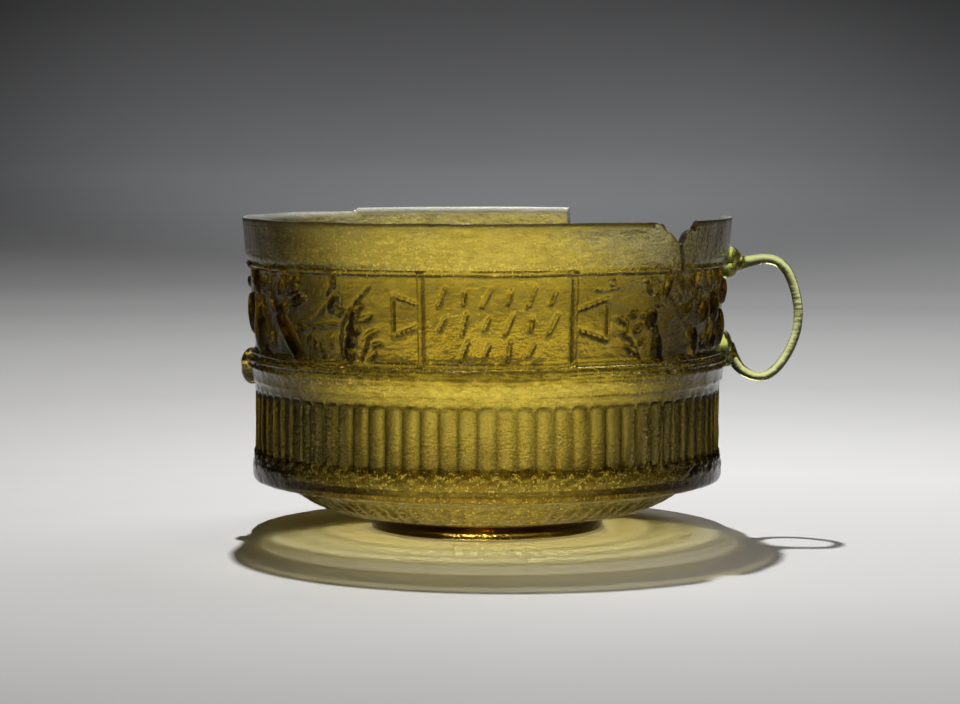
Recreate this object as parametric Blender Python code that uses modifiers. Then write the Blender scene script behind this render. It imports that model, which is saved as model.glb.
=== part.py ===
"""Mould-blown glass cup with one loop handle and the stump of the handle it has lost.

Metres, +Z up. The origin is the centre of the flat boss under the foot. The handle
points to +X, the panel with rows of strokes faces -Y and a second panel faces +Y.
Angles around the wall are in degrees, 0 at -Y and 90 at +X.
"""

import math

import bmesh
import bpy
from mathutils import Matrix, Vector

# Zones of the wall, stacked from the ground up
FOOT_HEIGHT = 0.0024
SOLE_HEIGHT = 0.0025
TONGUE_RISE = 0.0028
LEDGE_RISE = 0.0020
LOWER_BAND_HEIGHT = 0.0046
FLUTE_HEIGHT = 0.0129
FLUTE_MARGIN = 0.0018
BELT_HEIGHT = 0.0055
FRIEZE_HEIGHT = 0.0168
COLLAR_HEIGHT = 0.0095

# Outer radii of the foot, the sole, the ledge and the fluted wall
FOOT_RADIUS = 0.0225
SOLE_RADIUS = 0.0330
TONGUE_RADIUS = 0.0373
FLUTED_RADIUS = 0.0449

# How far the other zones of the wall stand out from the fluted one
LOWER_BAND_STEP = 0.0005
BELT_STEP = 0.0008
FRIEZE_FOOT_STEP = -0.0001
FRIEZE_HEAD_STEP = 0.0010
COLLAR_STEP = 0.0018
RIM_STEP = 0.0025

# Thickness of the glass
WALL = 0.0016
FLOOR = 0.0026
RIM_BEVEL = 0.0011

# Foot ring, the ring inside it and the boss at its centre
FOOT_RING_WIDTH = 0.0017
FOOT_RECESS = 0.0010
INNER_RING_RADIUS = 0.0128
INNER_RING_WIDTH = 0.0016
BOSS_RADIUS = 0.0042

# Horizontal ridges on the belt and beside the frieze
RIDGE_HEIGHT = 0.0007
RIDGE_WIDTH = 0.0011
RIDGE_SPACING = 0.00135

# Flutes of the lower wall
FLUTE_COUNT = 82
FLUTE_DEPTH = 0.0005
FLUTE_END = 0.0013
ARRIS_WIDTH = 0.0005

# Panels and their dovetail handles
PANEL_ANGLE = 2.4
PANEL_SPAN = 34.9
PANEL_RIB_WIDTH = 0.0015
PANEL_RELIEF = 0.0007
DOVETAIL_SPAN = 6.6
DOVETAIL_MOUTH = 0.0036
DOVETAIL_END = 0.0078
DOVETAIL_WIDTH = 0.0008
STROKE_WIDTH = 0.0007
STROKE_HEIGHT = 0.0036
STROKE_SPACING = 5.1
STROKE_LEAN = 21.0
STROKE_SHORTER = 0.35
STROKE_ROWS = (0.74, 0.45, 0.17)
STROKES_PER_ROW = (6, 6, 4)

# Plants of the frieze
STEM_WIDTH = 0.0011
LEAF_RELIEF = 0.0011
POD_RELIEF = 0.0016

# Break in the wall and wear of the rim: angle and drop from the rim's highest stretch
RIM_WEAR = 0.0006
BREAK_LINE = (
    (-145.0, -RIM_WEAR),
    (-144.6, RIM_WEAR),
    (41.0, RIM_WEAR),
    (44.7, 0.0023),
    (46.0, 0.0025),
    (49.2, 0.0048),
    (50.3, 0.0046),
    (52.7, 0.0023),
    (55.0, 0.0022),
    (55.3, RIM_WEAR),
    (99.5, RIM_WEAR),
    (100.2, 0.0060),
    (101.0, 0.0132),
    (103.0, 0.0166),
    (110.0, 0.0178),
    (129.0, 0.0155),
    (143.0, 0.0132),
    (157.5, 0.0105),
    (158.4, -RIM_WEAR),
)

# Handle: its ends sit below the two ridges of the frieze, its loop rises, sags and reaches
HANDLE_ANGLE = 90.0
HANDLE_RADIUS = 0.00095
HANDLE_TOP_DROP = 0.0002
HANDLE_FOOT_DROP = 0.0009
HANDLE_RISE = 0.0009
HANDLE_SAG = 0.0045
HANDLE_REACH = 0.0147
HANDLE_BLOB = (0.0040, 0.0034, 0.0028)
HANDLE_PAD = (0.0029, 0.0028, 0.0035)

# Stump of the lost handle and the scar of its upper end, below the same ridges
STUMP_ANGLE = -90.0
STUMP_DROP = 0.0034
STUMP_SIZE = (0.0032, 0.0030, 0.0038)
STUMP_STAND = 0.0022
STUMP_SNAP_TILT = 8.0
SCAR_DROP = 0.0035
SCAR_SIZE = (0.0020, 0.0026, 0.0010)

# Space left between separate pieces of glass
GAP = 0.0003

# Facets of round shapes, in number or in degrees; each facet of the wall holds whole flutes
FLUTES_PER_FACET = 2
FLUTE_SIDES = 8
FLUTE_OVERRUN = 1.15
BREAK_STEP = 6.0
SHARP_ANGLE = 40.0
MERGE = 0.00001

FACETS = FLUTE_COUNT // FLUTES_PER_FACET
FOOT_TOP = FOOT_HEIGHT
SOLE_TOP = FOOT_TOP + SOLE_HEIGHT
TONGUE_TOP = SOLE_TOP + TONGUE_RISE
LEDGE_TOP = TONGUE_TOP + LEDGE_RISE
FLUTE_FOOT = LEDGE_TOP + LOWER_BAND_HEIGHT
FLUTE_HEAD = FLUTE_FOOT + FLUTE_HEIGHT
BELT_FOOT = FLUTE_HEAD + FLUTE_MARGIN
FRIEZE_FOOT = BELT_FOOT + BELT_HEIGHT
FRIEZE_HEAD = FRIEZE_FOOT + FRIEZE_HEIGHT
HEIGHT = FRIEZE_HEAD + COLLAR_HEIGHT
LOWER_BAND_RADIUS = FLUTED_RADIUS + LOWER_BAND_STEP
BELT_RADIUS = FLUTED_RADIUS + BELT_STEP
FRIEZE_FOOT_RADIUS = FLUTED_RADIUS + FRIEZE_FOOT_STEP
FRIEZE_HEAD_RADIUS = FLUTED_RADIUS + FRIEZE_HEAD_STEP
COLLAR_RADIUS = FLUTED_RADIUS + COLLAR_STEP
RIM_RADIUS = FLUTED_RADIUS + RIM_STEP


def clear_scene():
    """Remove every object, so that the script can be run again in an open file."""
    for item in list(bpy.data.objects):
        bpy.data.objects.remove(item, do_unlink=True)


def new_collection(name):
    """Return an empty collection linked to the scene."""
    collection = bpy.data.collections.new(name)
    bpy.context.scene.collection.children.link(collection)
    return collection


def glass(name, colour, roughness):
    """Return a see-through glass material."""
    material = bpy.data.materials.new(name)
    material.use_nodes = True
    shader = material.node_tree.nodes["Principled BSDF"]
    shader.inputs["Base Color"].default_value = (*colour, 1.0)
    shader.inputs["Roughness"].default_value = roughness
    shader.inputs["Metallic"].default_value = 0.0
    shader.inputs["Transmission Weight"].default_value = 1.0
    return material


def add_object(name, mesh, collection, matrix=None):
    """Link a mesh to a collection as an object."""
    item = bpy.data.objects.new(name, mesh)
    collection.objects.link(item)
    if matrix is not None:
        item.matrix_world = matrix
    return item


def add_guide(name, mesh, collection, matrix=None):
    """Link a mesh that only cuts or adds to another, shown as wire."""
    item = add_object(name, mesh, collection, matrix)
    item.hide_render = True
    item.display_type = "WIRE"
    return item


def mesh_of(shape):
    """Turn a bmesh into a mesh and free it."""
    mesh = bpy.data.meshes.new("shape")
    shape.to_mesh(mesh)
    shape.free()
    return mesh


def turned(name, profile, collection, facets):
    """Turn a profile of (radius, height) points round the Z axis into a closed solid."""
    shape = bmesh.new()
    corners = [shape.verts.new((radius, 0.0, height)) for radius, height in profile]
    for start, end in zip(corners, corners[1:]):
        shape.edges.new((start, end))
    item = add_object(name, mesh_of(shape), collection)
    screw = item.modifiers.new("turn", "SCREW")
    screw.angle = 2.0 * math.pi
    screw.steps = facets
    screw.render_steps = facets
    screw.use_merge_vertices = True
    screw.merge_threshold = MERGE
    return item


def join(item, operation, collection):
    """Add a Boolean of all objects of a collection to an object."""
    boolean = item.modifiers.new(collection.name, "BOOLEAN")
    boolean.operation = operation
    boolean.operand_type = "COLLECTION"
    boolean.collection = collection
    boolean.solver = "EXACT"


def ridge(radius, height):
    """Return the outline of a horizontal ridge on the wall, from its upper edge down."""
    return [
        (radius, height + RIDGE_WIDTH / 2.0),
        (radius + RIDGE_HEIGHT, height),
        (radius, height - RIDGE_WIDTH / 2.0),
    ]


def outer_line():
    """Return the outer profile from the rim down to the boss under the foot."""
    ring_inside = FOOT_RADIUS - FOOT_RING_WIDTH
    return [
        (RIM_RADIUS, HEIGHT),
        (COLLAR_RADIUS, FRIEZE_HEAD + RIDGE_WIDTH),
        *ridge(FRIEZE_HEAD_RADIUS, FRIEZE_HEAD),
        *ridge(FRIEZE_FOOT_RADIUS, FRIEZE_FOOT),
        *ridge(BELT_RADIUS, FRIEZE_FOOT - RIDGE_SPACING),
        *ridge(BELT_RADIUS, FRIEZE_FOOT - 2.0 * RIDGE_SPACING),
        (BELT_RADIUS, BELT_FOOT),
        (FLUTED_RADIUS, BELT_FOOT - RIDGE_WIDTH / 2.0),
        (FLUTED_RADIUS, FLUTE_FOOT),
        (LOWER_BAND_RADIUS, FLUTE_FOOT - RIDGE_WIDTH / 2.0),
        (LOWER_BAND_RADIUS, LEDGE_TOP + 0.3 * WALL),
        (LOWER_BAND_RADIUS - 0.4 * WALL, LEDGE_TOP - 0.1 * WALL),
        (TONGUE_RADIUS, TONGUE_TOP),
        (SOLE_RADIUS, SOLE_TOP),
        (SOLE_RADIUS - WALL, SOLE_TOP - 0.3 * SOLE_HEIGHT),
        (FOOT_RADIUS, FOOT_TOP),
        (FOOT_RADIUS, 0.0),
        (ring_inside, 0.0),
        (ring_inside - FOOT_RECESS, FOOT_RECESS),
        (INNER_RING_RADIUS + INNER_RING_WIDTH, FOOT_RECESS),
        (INNER_RING_RADIUS, 0.5 * FOOT_RECESS),
        (INNER_RING_RADIUS - INNER_RING_WIDTH, FOOT_RECESS),
        (BOSS_RADIUS + FOOT_RECESS, FOOT_RECESS),
        (BOSS_RADIUS, 0.0),
        (0.0, 0.0),
    ]


def inner_line():
    """Return the inner profile from the middle of the floor up to the rim."""
    return [
        (0.0, FOOT_RECESS + FLOOR),
        (FOOT_RADIUS, FOOT_TOP + FLOOR),
        (SOLE_RADIUS - WALL, SOLE_TOP + WALL),
        (TONGUE_RADIUS - 0.4 * WALL, TONGUE_TOP + WALL),
        (LOWER_BAND_RADIUS - 1.9 * WALL, LEDGE_TOP + 0.7 * WALL),
        (LOWER_BAND_RADIUS - WALL, LEDGE_TOP + 1.6 * WALL),
        (FLUTED_RADIUS - WALL, FLUTE_FOOT),
        (FLUTED_RADIUS - WALL, FLUTE_HEAD),
        (BELT_RADIUS + RIDGE_HEIGHT / 2.0 - WALL, FRIEZE_FOOT - 1.5 * RIDGE_SPACING),
        (FRIEZE_FOOT_RADIUS - WALL, FRIEZE_FOOT + RIDGE_SPACING),
        (FRIEZE_HEAD_RADIUS - WALL, FRIEZE_HEAD),
        (RIM_RADIUS - WALL, HEIGHT - RIM_BEVEL),
        (RIM_RADIUS - 0.3 * WALL, HEIGHT),
    ]


def frieze_radius(height):
    """Return how far from the axis the frieze's plain wall is, at the middle of a facet."""
    rise = (height - FRIEZE_FOOT) / FRIEZE_HEIGHT
    radius = FRIEZE_FOOT_RADIUS + rise * (FRIEZE_HEAD_RADIUS - FRIEZE_FOOT_RADIUS)
    return radius * math.cos(math.pi / FACETS)


def round_axis(radius, angle, height):
    """Return the point at a radius, an angle from the front and a height."""
    turn = math.radians(angle)
    return Vector((radius * math.sin(turn), -radius * math.cos(turn), height))


def on_frieze(angle, height, lift=0.0):
    """Return a point on the frieze; height is measured from the frieze's lower ridge."""
    level = FRIEZE_FOOT + height
    return round_axis(frieze_radius(level) + lift, angle, level)


def frieze_frame(angle, height, lean=0.0, lift=0.0):
    """Return a frame on the frieze: X along the wall, Y up it, Z outward.

    A positive lean tips the top of the frame toward growing angles.
    """
    slope = math.atan2(FRIEZE_HEAD_RADIUS - FRIEZE_FOOT_RADIUS, FRIEZE_HEIGHT)
    upright = Matrix.Rotation(math.radians(angle), 4, "Z") @ Matrix.Rotation(math.pi / 2.0, 4, "X")
    tilt = Matrix.Rotation(slope, 4, "X") @ Matrix.Rotation(-math.radians(lean), 4, "Z")
    return Matrix.Translation(on_frieze(angle, height, lift)) @ upright @ tilt


def add_block(name, collection, matrix, size):
    """Add a box of the given size, centred in a frame."""
    shape = bmesh.new()
    bmesh.ops.create_cube(shape, size=1.0, matrix=Matrix.Diagonal((*size, 1.0)))
    add_guide(name, mesh_of(shape), collection, matrix)


def add_spindle(name, collection, matrix, size, sides=4, rings=4):
    """Add a body pointed at both ends that lies along Y, such as a leaf, pod or bud."""
    along_y = Matrix.Rotation(math.pi / 2.0, 4, "X")
    scale = Matrix.Diagonal((size[0] / 2.0, size[1] / 2.0, size[2], 1.0))
    shape = bmesh.new()
    bmesh.ops.create_uvsphere(
        shape, u_segments=sides, v_segments=rings, radius=1.0, matrix=scale @ along_y
    )
    add_guide(name, mesh_of(shape), collection, matrix)


def add_rod(name, collection, points, radius, sides_level):
    """Add a round rod through points, turned from a curve into a mesh with welded caps."""
    curve = bpy.data.curves.new(name, "CURVE")
    curve.dimensions = "3D"
    curve.bevel_depth = radius
    curve.bevel_resolution = sides_level
    curve.use_fill_caps = True
    spline = curve.splines.new("POLY")
    spline.points.add(len(points) - 1)
    for slot, point in zip(spline.points, points):
        slot.co = (*point, 1.0)
    guide = add_object(name, curve, collection)
    bpy.context.view_layer.update()
    evaluated = guide.evaluated_get(bpy.context.evaluated_depsgraph_get())
    mesh = bpy.data.meshes.new_from_object(evaluated)
    shape = bmesh.new()
    shape.from_mesh(mesh)
    bmesh.ops.remove_doubles(shape, verts=shape.verts, dist=MERGE)
    shape.to_mesh(mesh)
    shape.free()
    matrix = guide.matrix_world.copy()
    bpy.data.objects.remove(guide, do_unlink=True)
    bpy.data.curves.remove(curve)
    return add_guide(name, mesh, collection, matrix)


def smooth_path(points, steps):
    """Return points on the smooth curve that passes through the given points."""
    ends = [2.0 * points[0] - points[1], *points, 2.0 * points[-1] - points[-2]]
    path = []
    for before, start, end, after in zip(ends, ends[1:], ends[2:], ends[3:]):
        for step in range(steps):
            t = step / steps
            slope_in = (end - before) / 2.0
            slope_out = (after - start) / 2.0
            path.append(
                start * (2.0 * t**3 - 3.0 * t**2 + 1.0)
                + slope_in * (t**3 - 2.0 * t**2 + t)
                + end * (3.0 * t**2 - 2.0 * t**3)
                + slope_out * (t**3 - t**2)
            )
    path.append(points[-1])
    return path


def frieze_places(centre, *places):
    """Turn (angle, rise) pairs beside a panel's centre into places on the frieze.

    A rise is a share of the frieze's height, so the plants fill the frieze at any size.
    """
    return [(centre + angle, rise * FRIEZE_HEIGHT) for angle, rise in places]


def add_stem(name, collection, centre, *places):
    """Add a stem or tendril through (angle, rise) places beside a panel."""
    points = [on_frieze(*place) for place in frieze_places(centre, *places)]
    add_rod(name, collection, smooth_path(points, 2), STEM_WIDTH / 2.0, 0)


def add_leaf(name, collection, centre, place, size, lean, relief=LEAF_RELIEF):
    """Add a leaf, pod or bud; its width and length are shares of the frieze's height."""
    (spot,) = frieze_places(centre, place)
    sides = 6 if relief == POD_RELIEF else 4
    width, length = (share * FRIEZE_HEIGHT for share in size)
    add_spindle(name, collection, frieze_frame(*spot, lean), (width, length, relief), sides)


def add_panel(collection, centre):
    """Add the two ribs that frame a panel, with a dovetail handle outside each."""
    middle = FRIEZE_HEIGHT / 2.0
    rib = (PANEL_RIB_WIDTH, FRIEZE_HEIGHT, 2.0 * PANEL_RELIEF)
    for side in (-1.0, 1.0):
        edge = centre + side * PANEL_SPAN / 2.0
        add_block("panel_rib", collection, frieze_frame(edge, middle), rib)
        near = edge + side * math.degrees(PANEL_RIB_WIDTH / FRIEZE_FOOT_RADIUS) * 0.4
        far = near + side * DOVETAIL_SPAN
        corners = [
            (near, middle + DOVETAIL_MOUTH / 2.0),
            (far, middle + DOVETAIL_END / 2.0),
            (far, middle - DOVETAIL_END / 2.0),
            (near, middle - DOVETAIL_MOUTH / 2.0),
        ]
        points = [on_frieze(angle, height) for angle, height in corners]
        add_rod("dovetail", collection, points, DOVETAIL_WIDTH / 2.0, 0)


def add_strokes(collection, centre):
    """Fill a panel with rows of short leaning strokes."""
    for row, (rise, count) in enumerate(zip(STROKE_ROWS, STROKES_PER_ROW)):
        for index in range(count):
            angle = centre + (index - (count - 1) / 2.0) * STROKE_SPACING
            length = STROKE_HEIGHT * (1.0 - STROKE_SHORTER * ((index + row) % 2))
            stroke = (STROKE_WIDTH, length, 2.0 * PANEL_RELIEF)
            frame = frieze_frame(angle, rise * FRIEZE_HEIGHT, STROKE_LEAN)
            add_block("stroke", collection, frame, stroke)


def add_forked_plant(collection, centre):
    """Add a trunk that forks left and right, with leaves on its right."""
    fork = (-38.3, 0.42)
    add_stem("trunk", collection, centre, (-38.0, 0.01), (-38.3, 0.21), fork)
    add_stem("right_branch", collection, centre, fork, (-35.5, 0.61), (-30.7, 0.83))
    add_stem("left_branch", collection, centre, fork, (-44.9, 0.39), (-53.3, 0.34))
    add_leaf("trunk_leaf", collection, centre, (-35.2, 0.40), (0.12, 0.51), 14.0)
    for place, lean in (((-31.6, 0.49), 70.0), ((-30.4, 0.31), 60.0), ((-30.0, 0.14), 40.0)):
        add_leaf("small_leaf", collection, centre, place, (0.09, 0.225), lean)


def add_hanging_bud(collection, centre):
    """Add the bud that hangs from the upper ridge and the tendril and sprigs under it."""
    add_stem("bud_stem", collection, centre, (-41.5, 0.99), (-40.8, 0.83), (-41.8, 0.75))
    add_leaf("hanging_bud", collection, centre, (-40.4, 0.63), (0.20, 0.24), 35.0)
    add_stem("tendril", collection, centre, (-53.2, 0.39), (-46.4, 0.48), (-43.0, 0.60))
    for place, lean in (((-48.6, 0.155), 20.0), ((-45.6, 0.155), -15.0)):
        add_leaf("sprig", collection, centre, place, (0.07, 0.25), lean)


def add_big_leaves(collection, centre):
    """Add the thick pods and leaves at the far left of a panel, with the stem between."""
    add_leaf("big_pod", collection, centre, (-56.8, 0.26), (0.18, 0.535), -34.0, POD_RELIEF)
    add_leaf("upper_leaf", collection, centre, (-53.6, 0.845), (0.13, 0.32), 48.0)
    add_leaf("middle_leaf", collection, centre, (-52.0, 0.64), (0.14, 0.275), 62.0)
    add_stem("outer_stem", collection, centre, (-62.5, 0.975), (-63.9, 0.64), (-58.7, 0.38))
    add_leaf("outer_pod", collection, centre, (-71.2, 0.32), (0.165, 0.57), 4.0, POD_RELIEF)
    add_leaf("outer_leaf", collection, centre, (-72.6, 0.785), (0.12, 0.30), -20.0)


def add_spray(collection, centre):
    """Add the leafy spray at the right of a panel and the waisted pod and buds beside it."""
    for step in range(4):
        place = (31.8 + 2.0 * step, 0.095 + 0.143 * step)
        lean = -58.0 if step % 2 else 52.0
        add_leaf("spray_leaf", collection, centre, place, (0.085, 0.215), lean)
    add_leaf("pod_top", collection, centre, (39.2, 0.49), (0.135, 0.25), 10.0, POD_RELIEF)
    add_leaf("pod_foot", collection, centre, (40.2, 0.20), (0.155, 0.38), 4.0, POD_RELIEF)
    add_leaf("upper_bud", collection, centre, (38.6, 0.83), (0.155, 0.155), 0.0, POD_RELIEF)
    add_leaf("lower_bud", collection, centre, (41.6, 0.655), (0.14, 0.12), 0.0, POD_RELIEF)
    add_leaf("bud_leaf", collection, centre, (43.6, 0.80), (0.11, 0.335), 24.0)


def add_crossing_plant(collection, centre):
    """Add the two stems that meet at the far right of a panel, with leaves and pods."""
    add_stem("falling_stem", collection, centre, (45.6, 0.785), (50.2, 0.43), (60.0, 0.17))
    add_stem("rising_stem", collection, centre, (57.4, 0.085), (62.6, 0.275), (67.6, 0.80))
    for place, lean in (((49.8, 0.87), -30.0), ((54.4, 0.74), 16.0), ((57.6, 0.51), -24.0)):
        add_leaf("stem_leaf", collection, centre, place, (0.11, 0.275), lean)
    add_leaf("low_pod", collection, centre, (54.6, 0.19), (0.18, 0.32), -12.0, POD_RELIEF)
    add_leaf("far_bud", collection, centre, (66.4, 0.465), (0.18, 0.275), 0.0, POD_RELIEF)


def add_flutes(collection):
    """Add one cutter for each flute: a rod sunk into the fluted band, with tapered ends."""
    pitch = 2.0 * math.pi * FLUTED_RADIUS / FLUTE_COUNT
    half = (pitch - ARRIS_WIDTH) / 2.0
    radius = (half**2 + FLUTE_DEPTH**2) / (2.0 * FLUTE_DEPTH)
    shape = bmesh.new()
    bmesh.ops.create_cone(
        shape,
        cap_ends=True,
        segments=FLUTE_SIDES,
        radius1=radius,
        radius2=radius,
        depth=FLUTE_HEIGHT - ARRIS_WIDTH - 2.0 * FLUTE_END,
    )
    caps = [face for face in shape.faces if abs(face.normal.z) > 0.5]
    taper = FLUTE_OVERRUN * FLUTE_DEPTH
    rise = FLUTE_OVERRUN * FLUTE_END
    bmesh.ops.inset_individual(shape, faces=caps, thickness=taper, depth=rise)
    mesh = mesh_of(shape)
    half_side = math.pi / FLUTE_SIDES
    distance = FLUTED_RADIUS - FLUTE_DEPTH + radius * math.cos(half_side)
    middle = (FLUTE_FOOT + FLUTE_HEAD) / 2.0
    for index in range(FLUTE_COUNT):
        angle = index * 360.0 / FLUTE_COUNT
        place = Matrix.Translation(round_axis(distance, angle, middle))
        turn = Matrix.Rotation(math.radians(angle) + half_side, 4, "Z")
        add_guide("flute_cutter", mesh, collection, place @ turn)


def add_break(collection):
    """Add the cutter of the lost glass: worn rim, notch and the wide gap behind it.

    It is a ring with a jagged underside, lofted from inside the wall to outside it.
    """
    line = [BREAK_LINE[0]]
    for angle, drop in BREAK_LINE[1:]:
        last_angle, last_drop = line[-1]
        steps = max(1, round((angle - last_angle) / BREAK_STEP))
        for step in range(1, steps + 1):
            share = step / steps
            line.append((last_angle + share * (angle - last_angle), last_drop + share * (drop - last_drop)))
    inside = FRIEZE_FOOT_RADIUS - 4.0 * WALL
    outside = RIM_RADIUS + 4.0 * WALL
    top = HEIGHT + 4.0 * WALL
    shape = bmesh.new()
    sections = []
    for angle, drop in line:
        corners = ((inside, HEIGHT - drop), (outside, HEIGHT - drop), (outside, top), (inside, top))
        sections.append([shape.verts.new(round_axis(r, angle, z)) for r, z in corners])
    for here, there in zip(sections, sections[1:]):
        for index in range(4):
            after = (index + 1) % 4
            shape.faces.new((here[index], here[after], there[after], there[index]))
    shape.faces.new(sections[0])
    shape.faces.new(sections[-1])
    bmesh.ops.recalc_face_normals(shape, faces=shape.faces)
    add_guide("lost_glass", mesh_of(shape), collection)


def settle(item, material):
    """Turn an object's modifiers into its own mesh, shade it and give it its material."""
    bpy.context.view_layer.update()
    evaluated = item.evaluated_get(bpy.context.evaluated_depsgraph_get())
    mesh = bpy.data.meshes.new_from_object(evaluated)
    item.modifiers.clear()
    item.data = mesh
    mesh.shade_smooth()
    mesh.set_sharp_from_angle(angle=math.radians(SHARP_ANGLE))
    mesh.materials.clear()
    mesh.materials.append(material)


def build_cup_body(parts):
    """Build the turned cup with its carving, flutes and broken rim."""
    relief = new_collection("relief")
    cuts = new_collection("cuts")
    back = PANEL_ANGLE + 180.0
    for centre in (PANEL_ANGLE, back):
        add_panel(relief, centre)
        add_forked_plant(relief, centre)
        add_crossing_plant(relief, centre)
    for add_group in (add_strokes, add_hanging_bud, add_big_leaves, add_spray):
        add_group(relief, PANEL_ANGLE)
    scar = frieze_frame(STUMP_ANGLE, FRIEZE_HEIGHT - SCAR_DROP)
    add_spindle("scar", relief, scar, SCAR_SIZE)
    add_flutes(cuts)
    add_break(cuts)
    body = turned("cup_body", inner_line() + outer_line(), parts, FACETS)
    join(body, "UNION", relief)
    join(body, "DIFFERENCE", cuts)
    settle(body, glass("mould_blown_glass", (0.60, 0.50, 0.13), 0.08))


def rounded(place, size):
    """Return the mesh of an ellipsoid with the given half sizes, centred at a place."""
    shape = bmesh.new()
    bmesh.ops.create_uvsphere(shape, u_segments=10, v_segments=6, radius=1.0)
    shape.transform(Matrix.Translation(place) @ Matrix.Diagonal((*size, 1.0)))
    return mesh_of(shape)


def wall_seat(name):
    """Return a collection with the solid that keeps applied glass clear of the wall."""
    seat = new_collection(name)
    outer = [(radius + GAP, height) for radius, height in outer_line() if height >= LEDGE_TOP]
    profile = [(0.0, HEIGHT), *outer, (0.0, outer[-1][1])]
    solid = turned(name, profile, seat, FACETS)
    solid.hide_render = True
    solid.display_type = "WIRE"
    return seat


def build_handle(parts, seat):
    """Build the loop handle: a round rod drawn out of a blob above and a pad below."""
    top = FRIEZE_HEAD - HANDLE_TOP_DROP
    foot = FRIEZE_FOOT - HANDLE_FOOT_DROP
    low = foot - HANDLE_SAG
    high = top + HANDLE_RISE
    seat_top = round_axis(FRIEZE_HEAD_RADIUS, HANDLE_ANGLE, top)
    seat_foot = round_axis(BELT_RADIUS, HANDLE_ANGLE, foot)
    loop = (
        (0.31, 0.97),
        (0.60, 1.0),
        (0.85, 0.89),
        (0.98, 0.68),
        (0.99, 0.40),
        (0.85, 0.15),
        (0.60, 0.01),
        (0.36, 0.02),
        (0.16, 0.15),
    )
    points = [seat_top]
    for reach, rise in loop:
        radius = BELT_RADIUS + reach * HANDLE_REACH
        points.append(round_axis(radius, HANDLE_ANGLE, low + rise * (high - low)))
    points.append(seat_foot)
    ends = new_collection("handle_ends")
    for place, size in ((seat_top, HANDLE_BLOB), (seat_foot, HANDLE_PAD)):
        add_guide("handle_end", rounded(place, size), ends)
    rod = add_rod("handle", parts, smooth_path(points, 2), HANDLE_RADIUS, 2)
    rod.hide_render = False
    rod.display_type = "TEXTURED"
    join(rod, "UNION", ends)
    join(rod, "DIFFERENCE", seat)
    settle(rod, glass("handle_glass", (0.66, 0.62, 0.30), 0.05))


def build_handle_stump(parts, seat):
    """Build the lower end of the lost handle, snapped off close to the wall."""
    height = FRIEZE_FOOT - STUMP_DROP
    place = round_axis(BELT_RADIUS, STUMP_ANGLE, height)
    stump = add_object("handle_stump", rounded(place, STUMP_SIZE), parts)
    snap = new_collection("snap")
    size = Vector((2.0 * STUMP_STAND, 4.0 * STUMP_SIZE[1], 4.0 * STUMP_SIZE[2]))
    reach = BELT_RADIUS + STUMP_STAND + size.x / 2.0
    tilt = Matrix.Rotation(math.radians(-STUMP_SNAP_TILT), 4, "Y")
    frame = Matrix.Translation(round_axis(reach, STUMP_ANGLE, height)) @ tilt
    add_block("snap", snap, frame, size)
    join(stump, "DIFFERENCE", seat)
    join(stump, "DIFFERENCE", snap)
    settle(stump, glass("stump_glass", (0.60, 0.50, 0.16), 0.12))


def main():
    """Build the cup and its two pieces of applied glass."""
    clear_scene()
    parts = new_collection("glass_cup")
    build_cup_body(parts)
    seat = wall_seat("wall_seat")
    build_handle(parts, seat)
    build_handle_stump(parts, seat)


main()
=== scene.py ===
"""Mould-blown olive glass cup with a loop handle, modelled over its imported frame.

Sizes are millimetres until a mesh is made. Angles round the wall are degrees, 0 at the
front (-Y) and 90 at the handle (+X). Heights are above the foot.
"""

import logging
import math
from dataclasses import dataclass, field
from enum import Enum

import bmesh
import bpy
import numpy as np
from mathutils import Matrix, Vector


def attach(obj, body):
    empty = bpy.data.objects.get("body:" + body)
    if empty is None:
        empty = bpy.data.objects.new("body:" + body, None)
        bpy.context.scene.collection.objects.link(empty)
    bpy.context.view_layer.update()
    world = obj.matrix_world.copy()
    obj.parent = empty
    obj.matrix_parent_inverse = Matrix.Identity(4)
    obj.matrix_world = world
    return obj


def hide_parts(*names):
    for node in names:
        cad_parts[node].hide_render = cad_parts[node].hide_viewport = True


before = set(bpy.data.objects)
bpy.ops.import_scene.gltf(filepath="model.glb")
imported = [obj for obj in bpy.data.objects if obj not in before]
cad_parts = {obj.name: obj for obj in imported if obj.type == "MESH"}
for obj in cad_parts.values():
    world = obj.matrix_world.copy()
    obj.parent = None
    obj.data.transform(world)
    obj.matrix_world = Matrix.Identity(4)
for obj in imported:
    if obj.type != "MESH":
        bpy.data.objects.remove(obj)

log = logging.getLogger("glass_cup")

METRES = 0.001
PRINCIPLED = "ShaderNodeBsdfPrincipled"

Array = np.ndarray
Place = tuple[float, float]
Spot = tuple[float, float, float]
Colour = tuple[float, float, float]
Stops = tuple[tuple[float, float], ...]
Tints = tuple[tuple[float, Colour], ...]

FRIEZE_RADIUS = 45.3
PLAIN_PAINTED_SHADE = 0.4
WHITE = (1.0, 1.0, 1.0, 1.0)
NOWHERE: Stops = ((0.0, 0.0), (1.0, 0.0))


class Slot(Enum):
    """Material slots of the record that the pieces take their finish from."""

    BODY = "mould_blown_glass"
    HANDLE = "handle_glass"
    STUMP = "stump_glass"


def fade(low: float, high: float, value: Array) -> Array:
    """Rise smoothly from 0 to 1.

    Args:
        low: where the rise starts.
        high: where it ends.
        value: the numbers to map.

    Returns:
        The share of the rise at each number.
    """
    share = np.clip((value - low) / (high - low), 0.0, 1.0)
    return share * share * (3.0 - 2.0 * share)


def band(rise: Place, fall: Place, value: Array) -> Array:
    """Rise smoothly from 0 to 1 and fall back.

    Args:
        rise: where the rise starts and ends.
        fall: where the fall starts and ends.
        value: the numbers to map.

    Returns:
        1 between the rise and the fall, 0 outside them.
    """
    return fade(*rise, value) * (1.0 - fade(*fall, value))


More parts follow.
